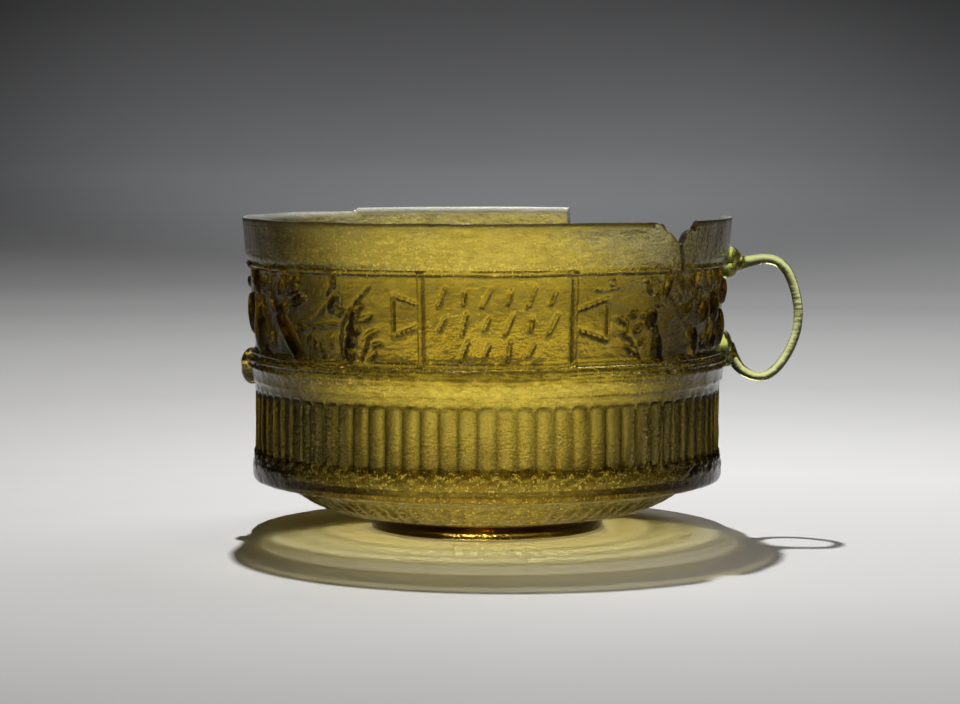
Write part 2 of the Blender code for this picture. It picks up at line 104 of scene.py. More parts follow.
def swell(distance: Array, half_width: float | Array, fullness: float = 1.3) -> Array:
    """Cross-section of a moulded ridge.

    Args:
        distance: distance from the ridge's line.
        half_width: distance at which the ridge has run out.
        fullness: low for a round top and crisp foot, high for a soft foot.

    Returns:
        1 on the line, falling to 0 at the half width.
    """
    return np.clip(1.0 - (distance / half_width) ** 2, 0.0, 1.0) ** fullness


@dataclass(frozen=True)
class Waves:
    """Slow sine waves over the wall, the same on each run."""

    seed: int
    count: int
    length: float
    size: float = 1.0
    wall_radius: float = 46.0
    spread: float = 0.7

    def at(self, angle: Array, height: Array) -> Array:
        """Sum the waves.

        Args:
            angle: degrees round the wall.
            height: millimetres above the foot.

        Returns:
            Numbers of about minus to plus the size.
        """
        draw = np.random.default_rng(self.seed)
        total = np.zeros(np.broadcast(angle, height).shape)
        full_turn = 2.0 * math.pi
        turns = full_turn * self.wall_radius / self.length
        for _ in range(self.count):
            around = round(float(draw.normal(0.0, self.spread)) * turns)
            upward = float(draw.normal(0.0, self.spread)) * full_turn / self.length
            phase = float(draw.uniform(0.0, full_turn))
            total = total + np.sin(around * np.radians(angle) + upward * height + phase)
        return self.size * (total / math.sqrt(self.count))


def smooth_path(points: list[Place], steps: int) -> list[Place]:
    """Points on the smooth curve that passes through the given points.

    Args:
        points: at least two points.
        steps: pieces that each stretch is cut into.

    Returns:
        The curve's points, both ends included.
    """
    spots = [np.array(point, dtype=float) for point in points]
    ends = [2.0 * spots[0] - spots[1], *spots, 2.0 * spots[-1] - spots[-2]]
    path = []
    for before, start, end, after in zip(ends, ends[1:], ends[2:], ends[3:]):
        for step in range(steps):
            t = step / steps
            pull_in = (end - before) / 2.0
            pull_out = (after - start) / 2.0
            path.append(
                start * (2.0 * t**3 - 3.0 * t**2 + 1.0)
                + pull_in * (t**3 - 2.0 * t**2 + t)
                + end * (3.0 * t**2 - 2.0 * t**3)
                + pull_out * (t**3 - t**2)
            )
    path.append(spots[-1])
    return [tuple(float(number) for number in spot) for spot in path]


class Mix:
    """A shader socket with arithmetic on it, and the one way to add other nodes."""

    def __init__(self, tree: bpy.types.NodeTree, socket: bpy.types.NodeSocket) -> None:
        """Wrap an output socket of a node tree."""
        self.tree = tree
        self.socket = socket

    @staticmethod
    def node(
        tree: bpy.types.NodeTree,
        kind: str,
        output: int | str = 0,
        settings: dict | None = None,
        stops: tuple = (),
        **inputs: object,
    ) -> "Mix":
        """Add a node and return one of its outputs.

        Args:
            tree: the node tree.
            kind: the node's type.
            output: which output to return.
            settings: properties that are set first.
            stops: (place, grey or colour) pairs of a ramp.
            inputs: values or links by socket name, with _ for a space, or by number as n0.

        Returns:
            The wrapped output.
        """
        made = tree.nodes.new(kind)
        for name, value in (settings or {}).items():
            setattr(made, name, value)
        if stops:
            ramp = made.color_ramp
            while len(ramp.elements) < len(stops):
                ramp.elements.new(0.5)
            for element, (place, tone) in zip(ramp.elements, stops):
                element.position = place
                colour = tone if isinstance(tone, tuple) else (tone, tone, tone)
                element.color = (*colour, 1.0)
        for name, value in inputs.items():
            numbered = name[0] == "n" and name[1:].isdigit()
            key = int(name[1:]) if numbered else name.replace("_", " ")
            if isinstance(value, Mix):
                tree.links.new(value.socket, made.inputs[key])
            else:
                made.inputs[key].default_value = value
        return Mix(tree, made.outputs[output])

    def _math(self, operation: str, first: object, second: object) -> "Mix":
        """Add a Math node on two numbers or links."""
        settings = {"operation": operation}
        return Mix.node(self.tree, "ShaderNodeMath", settings=settings, n0=first, n1=second)

    def __add__(self, other: object) -> "Mix":
        """Add."""
        return self._math("ADD", self, other)

    def __radd__(self, other: object) -> "Mix":
        """Add to a number."""
        return self._math("ADD", other, self)

    def __sub__(self, other: object) -> "Mix":
        """Subtract."""
        return self._math("SUBTRACT", self, other)

    def __rsub__(self, other: object) -> "Mix":
        """Subtract from a number."""
        return self._math("SUBTRACT", other, self)

    def __mul__(self, other: object) -> "Mix":
        """Multiply."""
        return self._math("MULTIPLY", self, other)

    def __rmul__(self, other: object) -> "Mix":
        """Multiply a number."""
        return self._math("MULTIPLY", other, self)

    def __truediv__(self, other: object) -> "Mix":
        """Divide."""
        return self._math("DIVIDE", self, other)

    def __pow__(self, other: object) -> "Mix":
        """Raise to a power."""
        return self._math("POWER", self, other)

    def at_least(self, low: float) -> "Mix":
        """Raise what is below a number to it."""
        return self._math("MAXIMUM", self, low)

    def cosine(self) -> "Mix":
        """Cosine of radians."""
        return self._math("COSINE", self, 0.0)

    def turn_from(self, other: object) -> "Mix":
        """Radians of the direction whose sides are this and the other."""
        return self._math("ARCTAN2", self, other)

    def vector(self, operation: str, other: object = (0.0, 0.0, 0.0)) -> "Mix":
        """Add a Vector Math node on this and another vector.

        Args:
            operation: the node's operation.
            other: the second vector.

        Returns:
            A number for a length or distance, otherwise a vector.
        """
        output = "Value" if operation in ("LENGTH", "DISTANCE") else "Vector"
        settings = {"operation": operation}
        kind = "ShaderNodeVectorMath"
        return Mix.node(self.tree, kind, output, settings=settings, n0=self, n1=other)

    def stretched(self, scale: Spot) -> "Mix":
        """These coordinates with each axis scaled."""
        return Mix.node(self.tree, "ShaderNodeMapping", Vector=self, Scale=scale)

    def axis(self, name: str) -> "Mix":
        """One coordinate of a vector."""
        return Mix.node(self.tree, "ShaderNodeSeparateXYZ", name, Vector=self)

    def ramp(self, *stops: tuple) -> "Mix":
        """Map through a colour ramp of (place, grey or colour) stops."""
        return Mix.node(self.tree, "ShaderNodeValToRGB", stops=stops, Fac=self)

    def noise(self, scale: float, detail: float = 1.0) -> "Mix":
        """Noise at these coordinates, of a scale per metre."""
        return Mix.node(self.tree, "ShaderNodeTexNoise", Vector=self, Scale=scale, Detail=detail)

    def facing(self) -> "Mix":
        """0 where this normal faces the viewer, 1 where it is side on."""
        return Mix.node(self.tree, "ShaderNodeLayerWeight", "Facing", Blend=0.5, Normal=self)

    def under(self, cover: "Mix", share: "Mix") -> "Mix":
        """Cover this shader with a share of another one."""
        return Mix.node(self.tree, "ShaderNodeMixShader", n0=share, n1=self, n2=cover)


def new_material(name: str) -> tuple[bpy.types.Material, Mix]:
    """Make an empty material.

    Args:
        name: the material's name.

    Returns:
        The material and its object coordinates.
    """
    made = bpy.data.materials.new(name)
    made.use_nodes = True
    made.node_tree.nodes.clear()
    return made, Mix.node(made.node_tree, "ShaderNodeTexCoord", "Object")


def mesh_share(tree: bpy.types.NodeTree, name: str) -> Mix:
    """A share that the mesh keeps on its points."""
    return Mix.node(tree, "ShaderNodeAttribute", "Fac", settings={"attribute_name": name})


@dataclass(frozen=True)
class GlassFinish:
    """See-through olive glass: weathered in patches, frosted where ground, with painted shade at
    its sides, on steep relief and in lumps, and a painted glow and painted glints of lit
    translucent film.

    Stops run over the height as a share of the cup's, or over the value of a pattern.
    """

    slot: Slot
    top: float = 0.0608
    drift: float = 0.02
    tints: Tints = (
        (0.00, (0.85, 0.66, 0.218)),
        (0.06, (1.0, 0.90, 0.335)),
        (0.16, (1.0, 0.92, 0.364)),
        (0.18, (1.0, 0.97, 0.582)),
        (0.225, (1.0, 0.97, 0.582)),
        (0.25, (0.98, 0.89, 0.379)),
        (0.44, (0.98, 0.89, 0.379)),
        (0.50, (1.0, 0.96, 0.48)),
        (0.55, (1.0, 0.95, 0.437)),
        (0.60, (1.0, 0.91, 0.364)),
        (0.84, (1.0, 0.92, 0.379)),
        (0.87, (1.0, 0.985, 0.67)),
    )
    clouds: Tints = ((0.36, (0.93, 0.90, 0.78)), (0.58, (1.0, 1.0, 1.0)))
    absorbed: Colour = (0.92, 0.82, 0.45)
    density: float = 460.0
    ior: float = 1.5
    sheen_colour: Colour = (0.80, 0.68, 0.38)
    fine_scale: float = 1900.0
    broad_scale: float = 210.0
    haze: float = 0.0
    haze_stops: Stops = ((0.42, 0.0), (0.72, 1.0))
    pitting: float = 0.25
    pit_stops: Stops = ((0.56, 0.0), (0.74, 1.0))
    grain: float = 0.6
    striation: float = 0.55
    streak_scale: float = 420.0
    streak_shape: Spot = (1.0, 1.0, 3.5)
    bump: float = 0.00012
    # lit translucent film: with a little haze, it is laid as a painted glow in bands up the wall,
    # stronger where the wall faces the viewer, and as painted glints in flecks
    film: float = 0.02
    film_and_glow_colour: Colour = (1.0, 0.86, 0.22)
    glow: Stops = (
        (0.0, 0.0), (0.05, 0.0), (0.07, 0.42), (0.155, 0.42), (0.17, 0.3), (0.23, 0.3),
        (0.245, 0.03), (0.44, 0.03), (0.48, 0.55), (0.52, 0.85), (0.56, 0.85), (0.59, 0.03),
        (0.84, 0.03), (0.87, 0.5), (0.97, 0.5), (1.0, 0.0),
    )
    glow_turn: Stops = ((0.0, 1.0), (0.04, 0.85), (0.12, 0.4), (0.35, 0.1))
    patch_scale: float = 560.0
    patch_detail: float = 2.0
    patch_shape: Spot = (1.0, 1.0, 2.6)
    patch_stops: Stops = ((0.38, 0.2), (0.56, 0.7), (0.68, 1.0))
    sparks: Stops = (
        (0.0, 0.0), (0.05, 0.0), (0.06, 0.8), (0.15, 0.8), (0.16, 0.2), (0.19, 0.6),
        (0.21, 0.6), (0.225, 0.9), (0.245, 0.9), (0.265, 0.15), (0.44, 0.06), (0.50, 0.3),
        (0.54, 0.9), (0.575, 0.9), (0.59, 0.08), (0.83, 0.08), (0.85, 0.6), (0.90, 0.25),
        (1.0, 0.2),
    )
    fleck_stops: Stops = ((0.64, 0.0), (0.69, 1.0))
    # painted shade: the colour and shares of a near-black glass mixed in on steep relief, at the
    # limbs and in lumps
    painted_shade_colour: Colour = (0.03, 0.025, 0.01)
    edge_roughness: float = 0.1
    edge_ior: float = 1.2
    edge_share: float = 0.55
    edge_stops: Stops = ((0.05, 0.0), (0.26, 0.3), (0.45, 0.8))
    limb_share: float = 0.9
    limb_stops: Stops = ((0.05, 0.0), (0.1, 0.1), (0.26, 0.4), (0.45, 0.85), (0.75, 1.0))
    lump_share: float = 0.8
    ground_colour: Colour = (0.86, 0.88, 0.86)
    ground_roughness: float = 0.55
    ground_clearness: float = 0.35
    frost: Place = (0.5, 0.6)
    passing: Stops = (
        (0.0, 0.45), (0.045, 0.45), (0.05, 1.0), (0.155, 1.0), (0.165, 0.0), (0.235, 0.05),
        (0.33, 0.9), (0.50, 0.9), (0.58, 0.35), (0.84, 0.2), (0.86, 0.9), (0.97, 0.9),
        (0.985, 0.0),
    )
    passing_inside: float = 0.42
    passing_turn: float = 0.95
    passing_power: float = 3.0
    lattice: Place = (82.0, 524.0)
    dot_stops: Stops = ((0.0, 0.0), (0.35, 0.08), (0.8, 1.0))
    sole: Stops = ((0.05, 0.0), (0.055, 1.0), (0.155, 1.0), (0.16, 0.0))
    window_colour: Colour = (0.97, 0.97, 0.95)

    def material(self) -> bpy.types.Material:
        """Build the material.

        Returns:
            A new material named for its slot.
        """
        made, place = new_material(self.slot.value)
        tree = made.node_tree
        fine, broad = place.noise(self.fine_scale), place.noise(self.broad_scale)
        level = place.axis("Z") / self.top + broad * self.drift
        normal = self._surface(place, fine)
        facing = normal.facing()
        turned = place.vector("MULTIPLY", (1.0, 1.0, 0.0)).vector("NORMALIZE").facing()
        worn = broad.ramp(*self.haze_stops)
        rough = worn * self.haze + fine.ramp(*self.pit_stops) * self.pitting
        tint = level.ramp(*self.tints).vector("MULTIPLY", broad.ramp(*self.clouds))
        clear = self._glass(normal, tint, rough)
        # lit translucent film that carries the painted glow and painted glints
        film = Mix.node(
            tree, "ShaderNodeBsdfTranslucent", Color=(*self.film_and_glow_colour, 1.0), Normal=normal
        )
        # painted shade: a near-black glass mixed in at the sides, on steep relief and in lumps
        dark = self._glass(
            normal, (*self.painted_shade_colour, 1.0), self.edge_roughness, IOR=self.edge_ior
        )
        ground = self._glass(
            normal,
            (*self.ground_colour, 1.0),
            self.ground_roughness,
            Transmission_Weight=self.ground_clearness,
            Specular_Tint=WHITE,
        )
        window = Mix.node(tree, "ShaderNodeBsdfTransparent", Color=(*self.window_colour, 1.0))
        # a little general haze, plus the painted glow and painted glints
        haze_and_painted_glow = worn * self.film + self._painted_glow(place, level, turned, fine)
        swing, least = self.frost
        frosted = mesh_share(tree, "ground") * (fine * swing + least)
        lamp = Mix.node(tree, "ShaderNodeLightPath", "Is Shadow Ray")
        square_on = 1.0 - facing**self.passing_power * self.passing_turn
        passing = lamp * self._passing(place, level) * square_on
        skin = clear.under(film, haze_and_painted_glow).under(dark, self._shade(turned, facing))
        surface = skin.under(ground, frosted).under(window, passing)
        kind, colour = "ShaderNodeVolumeAbsorption", (*self.absorbed, 1.0)
        depth = Mix.node(tree, kind, Color=colour, Density=self.density)
        out = tree.nodes.new("ShaderNodeOutputMaterial")
        tree.links.new(surface.socket, out.inputs["Surface"])
        tree.links.new(depth.socket, out.inputs["Volume"])
        return made

    def _glass(self, normal: Mix, colour: object, roughness: object, **other: object) -> Mix:
        """Add a shader of this glass.

        Args:
            normal: the bumped normal.
            colour: tint of what shines through.
            roughness: how far it scatters.
            other: sockets that differ from those of clear glass.

        Returns:
            The shader.
        """
        sockets = {
            "Base_Color": colour,
            "Roughness": roughness,
            "IOR": self.ior,
            "Transmission_Weight": 1.0,
            "Specular_Tint": (*self.sheen_colour, 1.0),
            "Normal": normal,
        }
        return Mix.node(normal.tree, PRINCIPLED, **{**sockets, **other})

    def _surface(self, place: Mix, fine: Mix) -> Mix:
        """Add the bump of the grain and of the streaks that blowing leaves.

        Args:
            place: object coordinates.
            fine: fine noise.

        Returns:
            The normal.
        """
        streaks = place.stretched(self.streak_shape).noise(self.streak_scale)
        height = fine * self.grain + streaks * self.striation
        return Mix.node(
            place.tree, "ShaderNodeBump", Strength=1.0, Distance=self.bump, Height=height
        )

    def _painted_glow(self, place: Mix, level: Mix, turned: Mix, fine: Mix) -> Mix:
        """Share of lit translucent film laid as a painted glow, in drawn-out patches in bands up
        the wall and stronger where the wall faces the viewer, and as painted glints in small
        flecks.

        Args:
            place: object coordinates.
            level: height as a share of the cup's.
            turned: how far the wall turns from the viewer.
            fine: fine noise.

        Returns:
            The share.
        """
        drawn = place.stretched(self.patch_shape)
        patches = drawn.noise(self.patch_scale, self.patch_detail).ramp(*self.patch_stops)
        lit = level.ramp(*self.glow) * turned.ramp(*self.glow_turn)
        flecks = fine.ramp(*self.fleck_stops) * level.ramp(*self.sparks)
        return lit * patches + flecks

    def _shade(self, turned: Mix, facing: Mix) -> Mix:
        """Share of painted shade, a near-black glass mixed in: at the cup's sides, on steep relief
        and in thick lumps.

        Args:
            turned: how far the wall turns from the viewer.
            facing: how far the relief turns from the viewer.

        Returns:
            The share.
        """
        painted_shade = mesh_share(turned.tree, "painted_shade")
        limb = turned.ramp(*self.limb_stops) * painted_shade * self.limb_share
        steep = facing.ramp(*self.edge_stops) * self.edge_share
        return limb + steep + (painted_shade - 1.0).at_least(0.0) * self.lump_share

    def _passing(self, place: Mix, level: Mix) -> Mix:
        """Share of the lamp's light that each face lets straight through.

        Args:
            place: object coordinates.
            level: height as a share of the cup's.

        Returns:
            The share: in bands up the wall, and in a lattice of dots under the sole.
        """
        turn = place.axis("X").turn_from(place.axis("Y"))
        radius = place.vector("MULTIPLY", (1.0, 1.0, 0.0)).vector("LENGTH")
        flutes, rows = self.lattice
        dots = ((turn * flutes).cosine() * (radius * rows).cosine()).ramp(*self.dot_stops)
        bands = level.ramp(*self.passing) * (1.0 - level.ramp(*self.sole) * (1.0 - dots))
        inside = mesh_share(place.tree, "inside")
        return bands * (1.0 - inside) + inside * self.passing_inside


@dataclass(frozen=True)
class StageFinish:
    """Matt paper of the floor and backdrop with painted shade: pale in the middle, darker far out
    and towards the left, for the lamps' falloff.
    """

    pale: Colour = (0.80, 0.80, 0.81)
    # painted shade: the paper darkens with distance from a point right of the middle, standing in
    # for the lamps' falloff
    painted_falloff: Stops = (
        (0.0, 1.0), (0.05, 1.0), (0.09, 0.83), (0.126, 0.67), (0.172, 0.52), (0.23, 0.42),
        (0.31, 0.34), (0.38, 0.31), (0.46, 0.36), (0.52, 0.41), (0.586, 0.50), (0.63, 0.5),
        (0.667, 0.44), (0.703, 0.34), (0.731, 0.27), (0.76, 0.22), (0.80, 0.17), (1.0, 0.14),
    )
    reach: float = 1.9
    middle: Spot = (0.05, 0.0, 0.0)
    mottle_scale: float = 40.0
    mottle_detail: float = 4.0
    mottle: float = 0.008
    roughness: float = 0.75
    ior: float = 1.3

    def material(self) -> bpy.types.Material:
        """Build the material, with the faint mottling of paper.

        Returns:
            The new material.
        """
        made, place = new_material("stage_board")
        tree = made.node_tree
        mottle = place.noise(self.mottle_scale, self.mottle_detail)
        share = place.vector("DISTANCE", self.middle) / self.reach + mottle * self.mottle
        stops = [(at, tuple(tone * channel for channel in self.pale)) for at, tone in self.painted_falloff]
        board = Mix.node(
            tree,
            PRINCIPLED,
            Base_Color=share.ramp(*stops),
            Roughness=self.roughness,
            IOR=self.ior,
        )
        out = tree.nodes.new("ShaderNodeOutputMaterial")
        tree.links.new(board.socket, out.inputs["Surface"])
        return made


@dataclass
class Relief:
    """A patch of the wall on which moulded forms are laid, as heights in millimetres."""

    angle: Array
    height: Array
    radius: float = FRIEZE_RADIUS
    raised: Array = field(init=False)

    def __post_init__(self) -> None:
        """Start with a plain wall."""
        self.raised = np.zeros(self.angle.shape)

    def across(self, angle: float) -> Array:
        """Millimetres along the wall from an angle, to the nearer side."""
        turn = (self.angle - angle + 180.0) % 360.0 - 180.0
        return np.radians(turn) * self.radius

    def lay(self, form: Array) -> None:
        """Add a form, taking the higher surface where forms meet."""
        self.raised = np.maximum(self.raised, form)


@dataclass(frozen=True)
class Trail:
    """A moulded line: a stem, tendril, rib or stroke."""

    points: tuple[Place, ...]
    width: float = 1.0
    relief: float = 0.55
    taper: float = 0.0
    curved: bool = True
    fullness: float = 1.1
    steps: int = 5

    def lay_on(self, wall: Relief, turn: float = 0.0) -> None:
        """Lay the line on the wall.

        Args:
            wall: the patch of wall.
            turn: degrees that the line is moved round the wall.
        """
        first = self.points[0][0] + turn
        sideways, upward = wall.across(first), wall.height
        scale = math.radians(1.0) * wall.radius
        flat = [((angle + turn - first) * scale, height) for angle, height in self.points]
        path = smooth_path(flat, self.steps) if self.curved and len(flat) > 2 else flat
        best = np.zeros(wall.height.shape)
        count = len(path) - 1
        for index, (start, end) in enumerate(zip(path, path[1:])):
            along_x, along_y = end[0] - start[0], end[1] - start[1]
            size = along_x**2 + along_y**2
            if size == 0.0:
                continue
            share = (sideways - start[0]) * along_x + (upward - start[1]) * along_y
            share = np.clip(share / size, 0.0, 1.0)
            aside = sideways - start[0] - share * along_x
            gap = np.hypot(aside, upward - start[1] - share * along_y)
            keep = 1.0 - self.taper * (index + share) / count
            best = np.maximum(best, swell(gap, 0.5 * self.width * keep, self.fullness) * keep)
        wall.lay(self.relief * best)


@dataclass(frozen=True)
class Leaf:
    """A moulded leaf, pod or bud, pointed or round at each end."""

    at: Place
    length: float
    width: float
    lean: float = 0.0
    relief: float = 1.0
    bend: float = 0.0
    lobes: float = 0.0
    lobe_size: float = 0.28
    tips: Place = (1.0, 1.0)
    vein: float = 0.0
    vein_width: float = 0.22
    belly: float = 0.0
    fullness: float = 0.8
    end_fullness: float = 0.35
    least_half: float = 1e-3

    def lay_on(self, wall: Relief, turn: float = 0.0) -> None:
        """Lay the leaf on the wall.

        Args:
            wall: the patch of wall.
            turn: degrees that the leaf is moved round the wall.
        """
        sideways, upward = wall.across(self.at[0] + turn), wall.height - self.at[1]
        lean = math.radians(self.lean)
        along = (upward * math.cos(lean) + sideways * math.sin(lean)) / (0.5 * self.length)
        across = sideways * math.cos(lean) - upward * math.sin(lean)
        across = across - self.bend * (1.0 - along**2)
        inside = np.clip(1.0 - along**2, 0.0, 1.0)
        tip = np.where(along < 0.0, self.tips[0], self.tips[1])
        spread = inside ** (0.5 * tip) * (1.0 + self.belly * along)
        if self.lobes:
            spread = spread * (1.0 + self.lobe_size * np.cos(along * self.lobes * math.pi))
        half = np.maximum(0.5 * self.width * spread, self.least_half)
        form = swell(across, half, self.fullness) * inside**self.end_fullness
        if self.vein:
            form = form * (1.0 - self.vein * np.exp(-((across / self.vein_width) ** 2)))
        wall.lay(self.relief * np.where(inside > 0.0, form, 0.0))


@dataclass(frozen=True)
class Ring:
    """A small moulded ring, such as a curl or a knob's edge."""

    at: Place
    radius: float
    width: float = 0.6
    relief: float = 0.5
    filling: float = 0.0
    filling_overlap: float = 0.3
    filling_fullness: float = 0.6

    def lay_on(self, wall: Relief, turn: float = 0.0) -> None:
        """Lay the ring on the wall, with its middle filled to a share of its height.

        Args:
            wall: the patch of wall.
            turn: degrees that the ring is moved round the wall.
        """
        gap = np.hypot(wall.across(self.at[0] + turn), wall.height - self.at[1])
        form = swell(gap - self.radius, 0.5 * self.width)
        reach = self.radius + self.filling_overlap * self.width
        form = np.maximum(form, self.filling * swell(gap, reach, self.filling_fullness))
        wall.lay(self.relief * form)


Form = Trail | Leaf | Ring


def fork_plant() -> list[Form]:
    """The trunk that forks left and right, and the leaves on its right.

    Returns:
        Its forms.
    """
    parts: list[Form] = [
        Trail(((-35.4, 34.2), (-36.1, 37.6), (-35.9, 41.5)), 1.0, 0.6),
        Trail(((-35.9, 41.5), (-33.1, 44.7), (-31.1, 46.2), (-28.1, 48.5)), 0.95, 0.6),
        Trail(((-35.9, 41.4), (-38.6, 41.6), (-42.5, 41.1), (-50.9, 40.2)), 0.9, 0.55),
        Leaf((-33.1, 40.9), 9.6, 2.5, 13.0, 1.55, 0.5, 4.0),
        Leaf((-33.9, 36.4), 4.6, 2.3, -8.0, 1.2, 0.0, 3.0),
        Leaf((-30.9, 44.6), 3.4, 1.3, 52.0, 0.9),
        Leaf((-29.2, 43.0), 3.8, 1.4, 72.0, 0.8, 0.25),
        Leaf((-27.9, 39.8), 4.0, 1.5, 58.0, 0.8, -0.2),
        Leaf((-26.0, 38.3), 3.0, 1.1, 84.0, 0.65),
        Leaf((-29.3, 37.9), 3.2, 1.2, 20.0, 0.7),
        Leaf((-27.8, 36.2), 3.6, 1.4, 42.0, 0.75, 0.2),
        Leaf((-30.4, 35.6), 2.6, 1.1, -18.0, 0.7),
    ]
    return parts


def hanging_bud() -> list[Form]:
    """The bud on its bent stem, the tendril and the sprigs below it.

    Returns:
        Its forms.
    """
    return [
        Trail(((-39.0, 51.3), (-38.1, 49.9), (-38.5, 48.4), (-39.8, 46.9)), 0.8, 0.6),
        Leaf((-37.9, 49.6), 3.4, 1.1, -8.0, 1.1),
        Leaf((-37.9, 45.7), 4.6, 2.9, 38.0, 1.25, 0.3, belly=-0.25, tips=(0.8, 1.2)),
        Leaf((-35.7, 43.8), 2.3, 1.8, 70.0, 1.0),
        Trail(((-50.8, 41.1), (-47.4, 41.5), (-44.0, 42.6), (-40.6, 44.9)), 0.75, 0.45),
        Leaf((-46.9, 37.6), 4.6, 1.1, 16.0, 0.65),
        Leaf((-44.6, 37.0), 4.4, 1.0, 2.0, 0.6),
        Leaf((-42.2, 36.7), 4.2, 1.0, -18.0, 0.6),
        Leaf((-40.0, 38.4), 3.0, 0.9, -30.0, 0.45),
    ]


def big_leaves() -> list[Form]:
    """The thick pods and curled leaves at the far left.

    Returns:
        Its forms.
    """
    return [
        Leaf((-54.4, 38.9), 11.4, 3.4, -38.0, 1.8, 0.4, belly=-0.2),
        Leaf((-57.2, 43.6), 4.4, 2.6, 62.0, 1.5, 0.2, 3.0),
        Leaf((-51.2, 48.4), 5.6, 2.4, 46.0, 1.5, 0.3, 2.0),
        Leaf((-49.4, 45.4), 4.8, 2.3, 66.0, 1.4, -0.3),
        Leaf((-53.6, 50.0), 3.4, 1.4, -30.0, 1.0),
        Leaf((-56.4, 47.6), 3.6, 1.8, 12.0, 1.2, 0.2),
        Trail(
            ((-60.1, 51.6), (-61.7, 48.0), (-61.4, 44.6), (-57.9, 40.9), (-53.0, 36.0)), 0.85, 0.7
        ),
        Leaf((-69.3, 40.2), 11.0, 3.1, 3.0, 1.7, 0.3, belly=-0.15),
        Leaf((-70.4, 48.2), 5.6, 2.2, -20.0, 1.2, 0.2),
        Leaf((-65.6, 48.0), 4.4, 1.5, 24.0, 0.9),
        Trail(((-75.5, 51.3), (-73.4, 46.4), (-72.7, 42.0), (-66.8, 35.2)), 0.8, 0.6),
        Leaf((-78.6, 42.0), 8.0, 2.4, -6.0, 1.3, 0.2),
        Leaf((-63.0, 37.6), 4.2, 1.6, 12.0, 1.0),
    ]


def spray() -> list[Form]:
    """The leafy spray at the panel's right, with the waisted pod and the knobs over it.

    Returns:
        Its forms.
    """
    parts: list[Form] = [
        Trail(((38.7, 34.6), (37.2, 37.2), (35.0, 39.8), (34.2, 42.6)), 0.8, 0.5),
        Trail(((25.2, 48.2), (28.4, 48.1), (31.6, 48.6)), 0.6, 0.3),
        Ring((29.8, 49.4), 0.6, 0.5, 0.45),
    ]
    for step in range(6):
        share = step / 5.0
        at = (37.4 - 3.6 * share, 36.2 + 6.8 * share)
        side = 1.0 if step % 2 else -1.0
        outward = (at[0] + side * 2.1, at[1] + 0.7)
        parts.append(Leaf(outward, 3.4 - 0.8 * share, 1.4, side * 58.0, 0.85, 0.2, 2.0))
    parts += [
        Leaf((41.2, 42.6), 3.9, 2.5, 8.0, 1.6, tips=(0.7, 0.7)),
        Leaf((43.4, 37.2), 6.6, 2.7, -8.0, 1.5, tips=(0.8, 1.1), belly=-0.3),
        Leaf((42.4, 40.4), 3.2, 1.5, -14.0, 1.3),
        Leaf((39.0, 43.4), 1.6, 1.0, 60.0, 1.0),
        Ring((41.7, 48.5), 1.25, 0.8, 0.9, 0.75),
        Ring((43.9, 45.8), 0.95, 0.8, 0.9, 0.8),
        Leaf((39.2, 49.6), 2.4, 1.2, 74.0, 0.8),
        Leaf((46.4, 47.8), 6.0, 1.8, 22.0, 1.3, -0.5),
    ]
    return parts


def crossing_plant() -> list[Form]:
    """The two stems that meet at the far right, with their leaves and pods.

    Returns:
        Its forms.
    """
    return [
        Trail(((47.4, 46.6), (50.5, 43.7), (55.6, 40.4), (62.3, 37.3)), 0.8, 0.6),
        Trail(((73.2, 48.4), (69.9, 42.4), (65.4, 38.9), (59.8, 35.9)), 0.8, 0.6),
        Trail(((50.0, 51.0), (51.0, 47.4), (53.0, 43.0)), 0.7, 0.5),
        Leaf((50.8, 48.6), 5.0, 1.7, -26.0, 1.1, 0.3),
        Leaf((55.2, 47.6), 4.4, 1.6, -8.0, 0.9, vein=0.4),
        Leaf((58.4, 49.4), 4.2, 1.5, 30.0, 0.9),
        Ring((59.8, 46.0), 1.3, 0.7, 0.7, 0.3),
        Leaf((55.0, 43.8), 3.6, 1.5, 40.0, 0.9),
        Leaf((62.4, 43.2), 4.6, 2.5, 14.0, 1.6, tips=(0.7, 1.0)),
        Leaf((57.2, 38.0), 5.6, 2.9, -10.0, 1.5, tips=(0.8, 1.0)),
        Leaf((68.6, 43.6), 6.0, 2.4, 6.0, 1.6),
        Leaf((75.0, 39.6), 7.6, 2.6, -8.0, 1.5, 0.2),
        Leaf((65.0, 48.8), 4.6, 1.6, -12.0, 1.0),
        Leaf((71.8, 49.4), 3.6, 1.6, 10.0, 1.1),
        Leaf((69.6, 37.4), 4.4, 2.0, 24.0, 1.2),
        Leaf((63.8, 36.4), 2.6, 1.2, 70.0, 0.8),
        Leaf((79.0, 46.2), 5.2, 1.9, 12.0, 1.1),
    ]


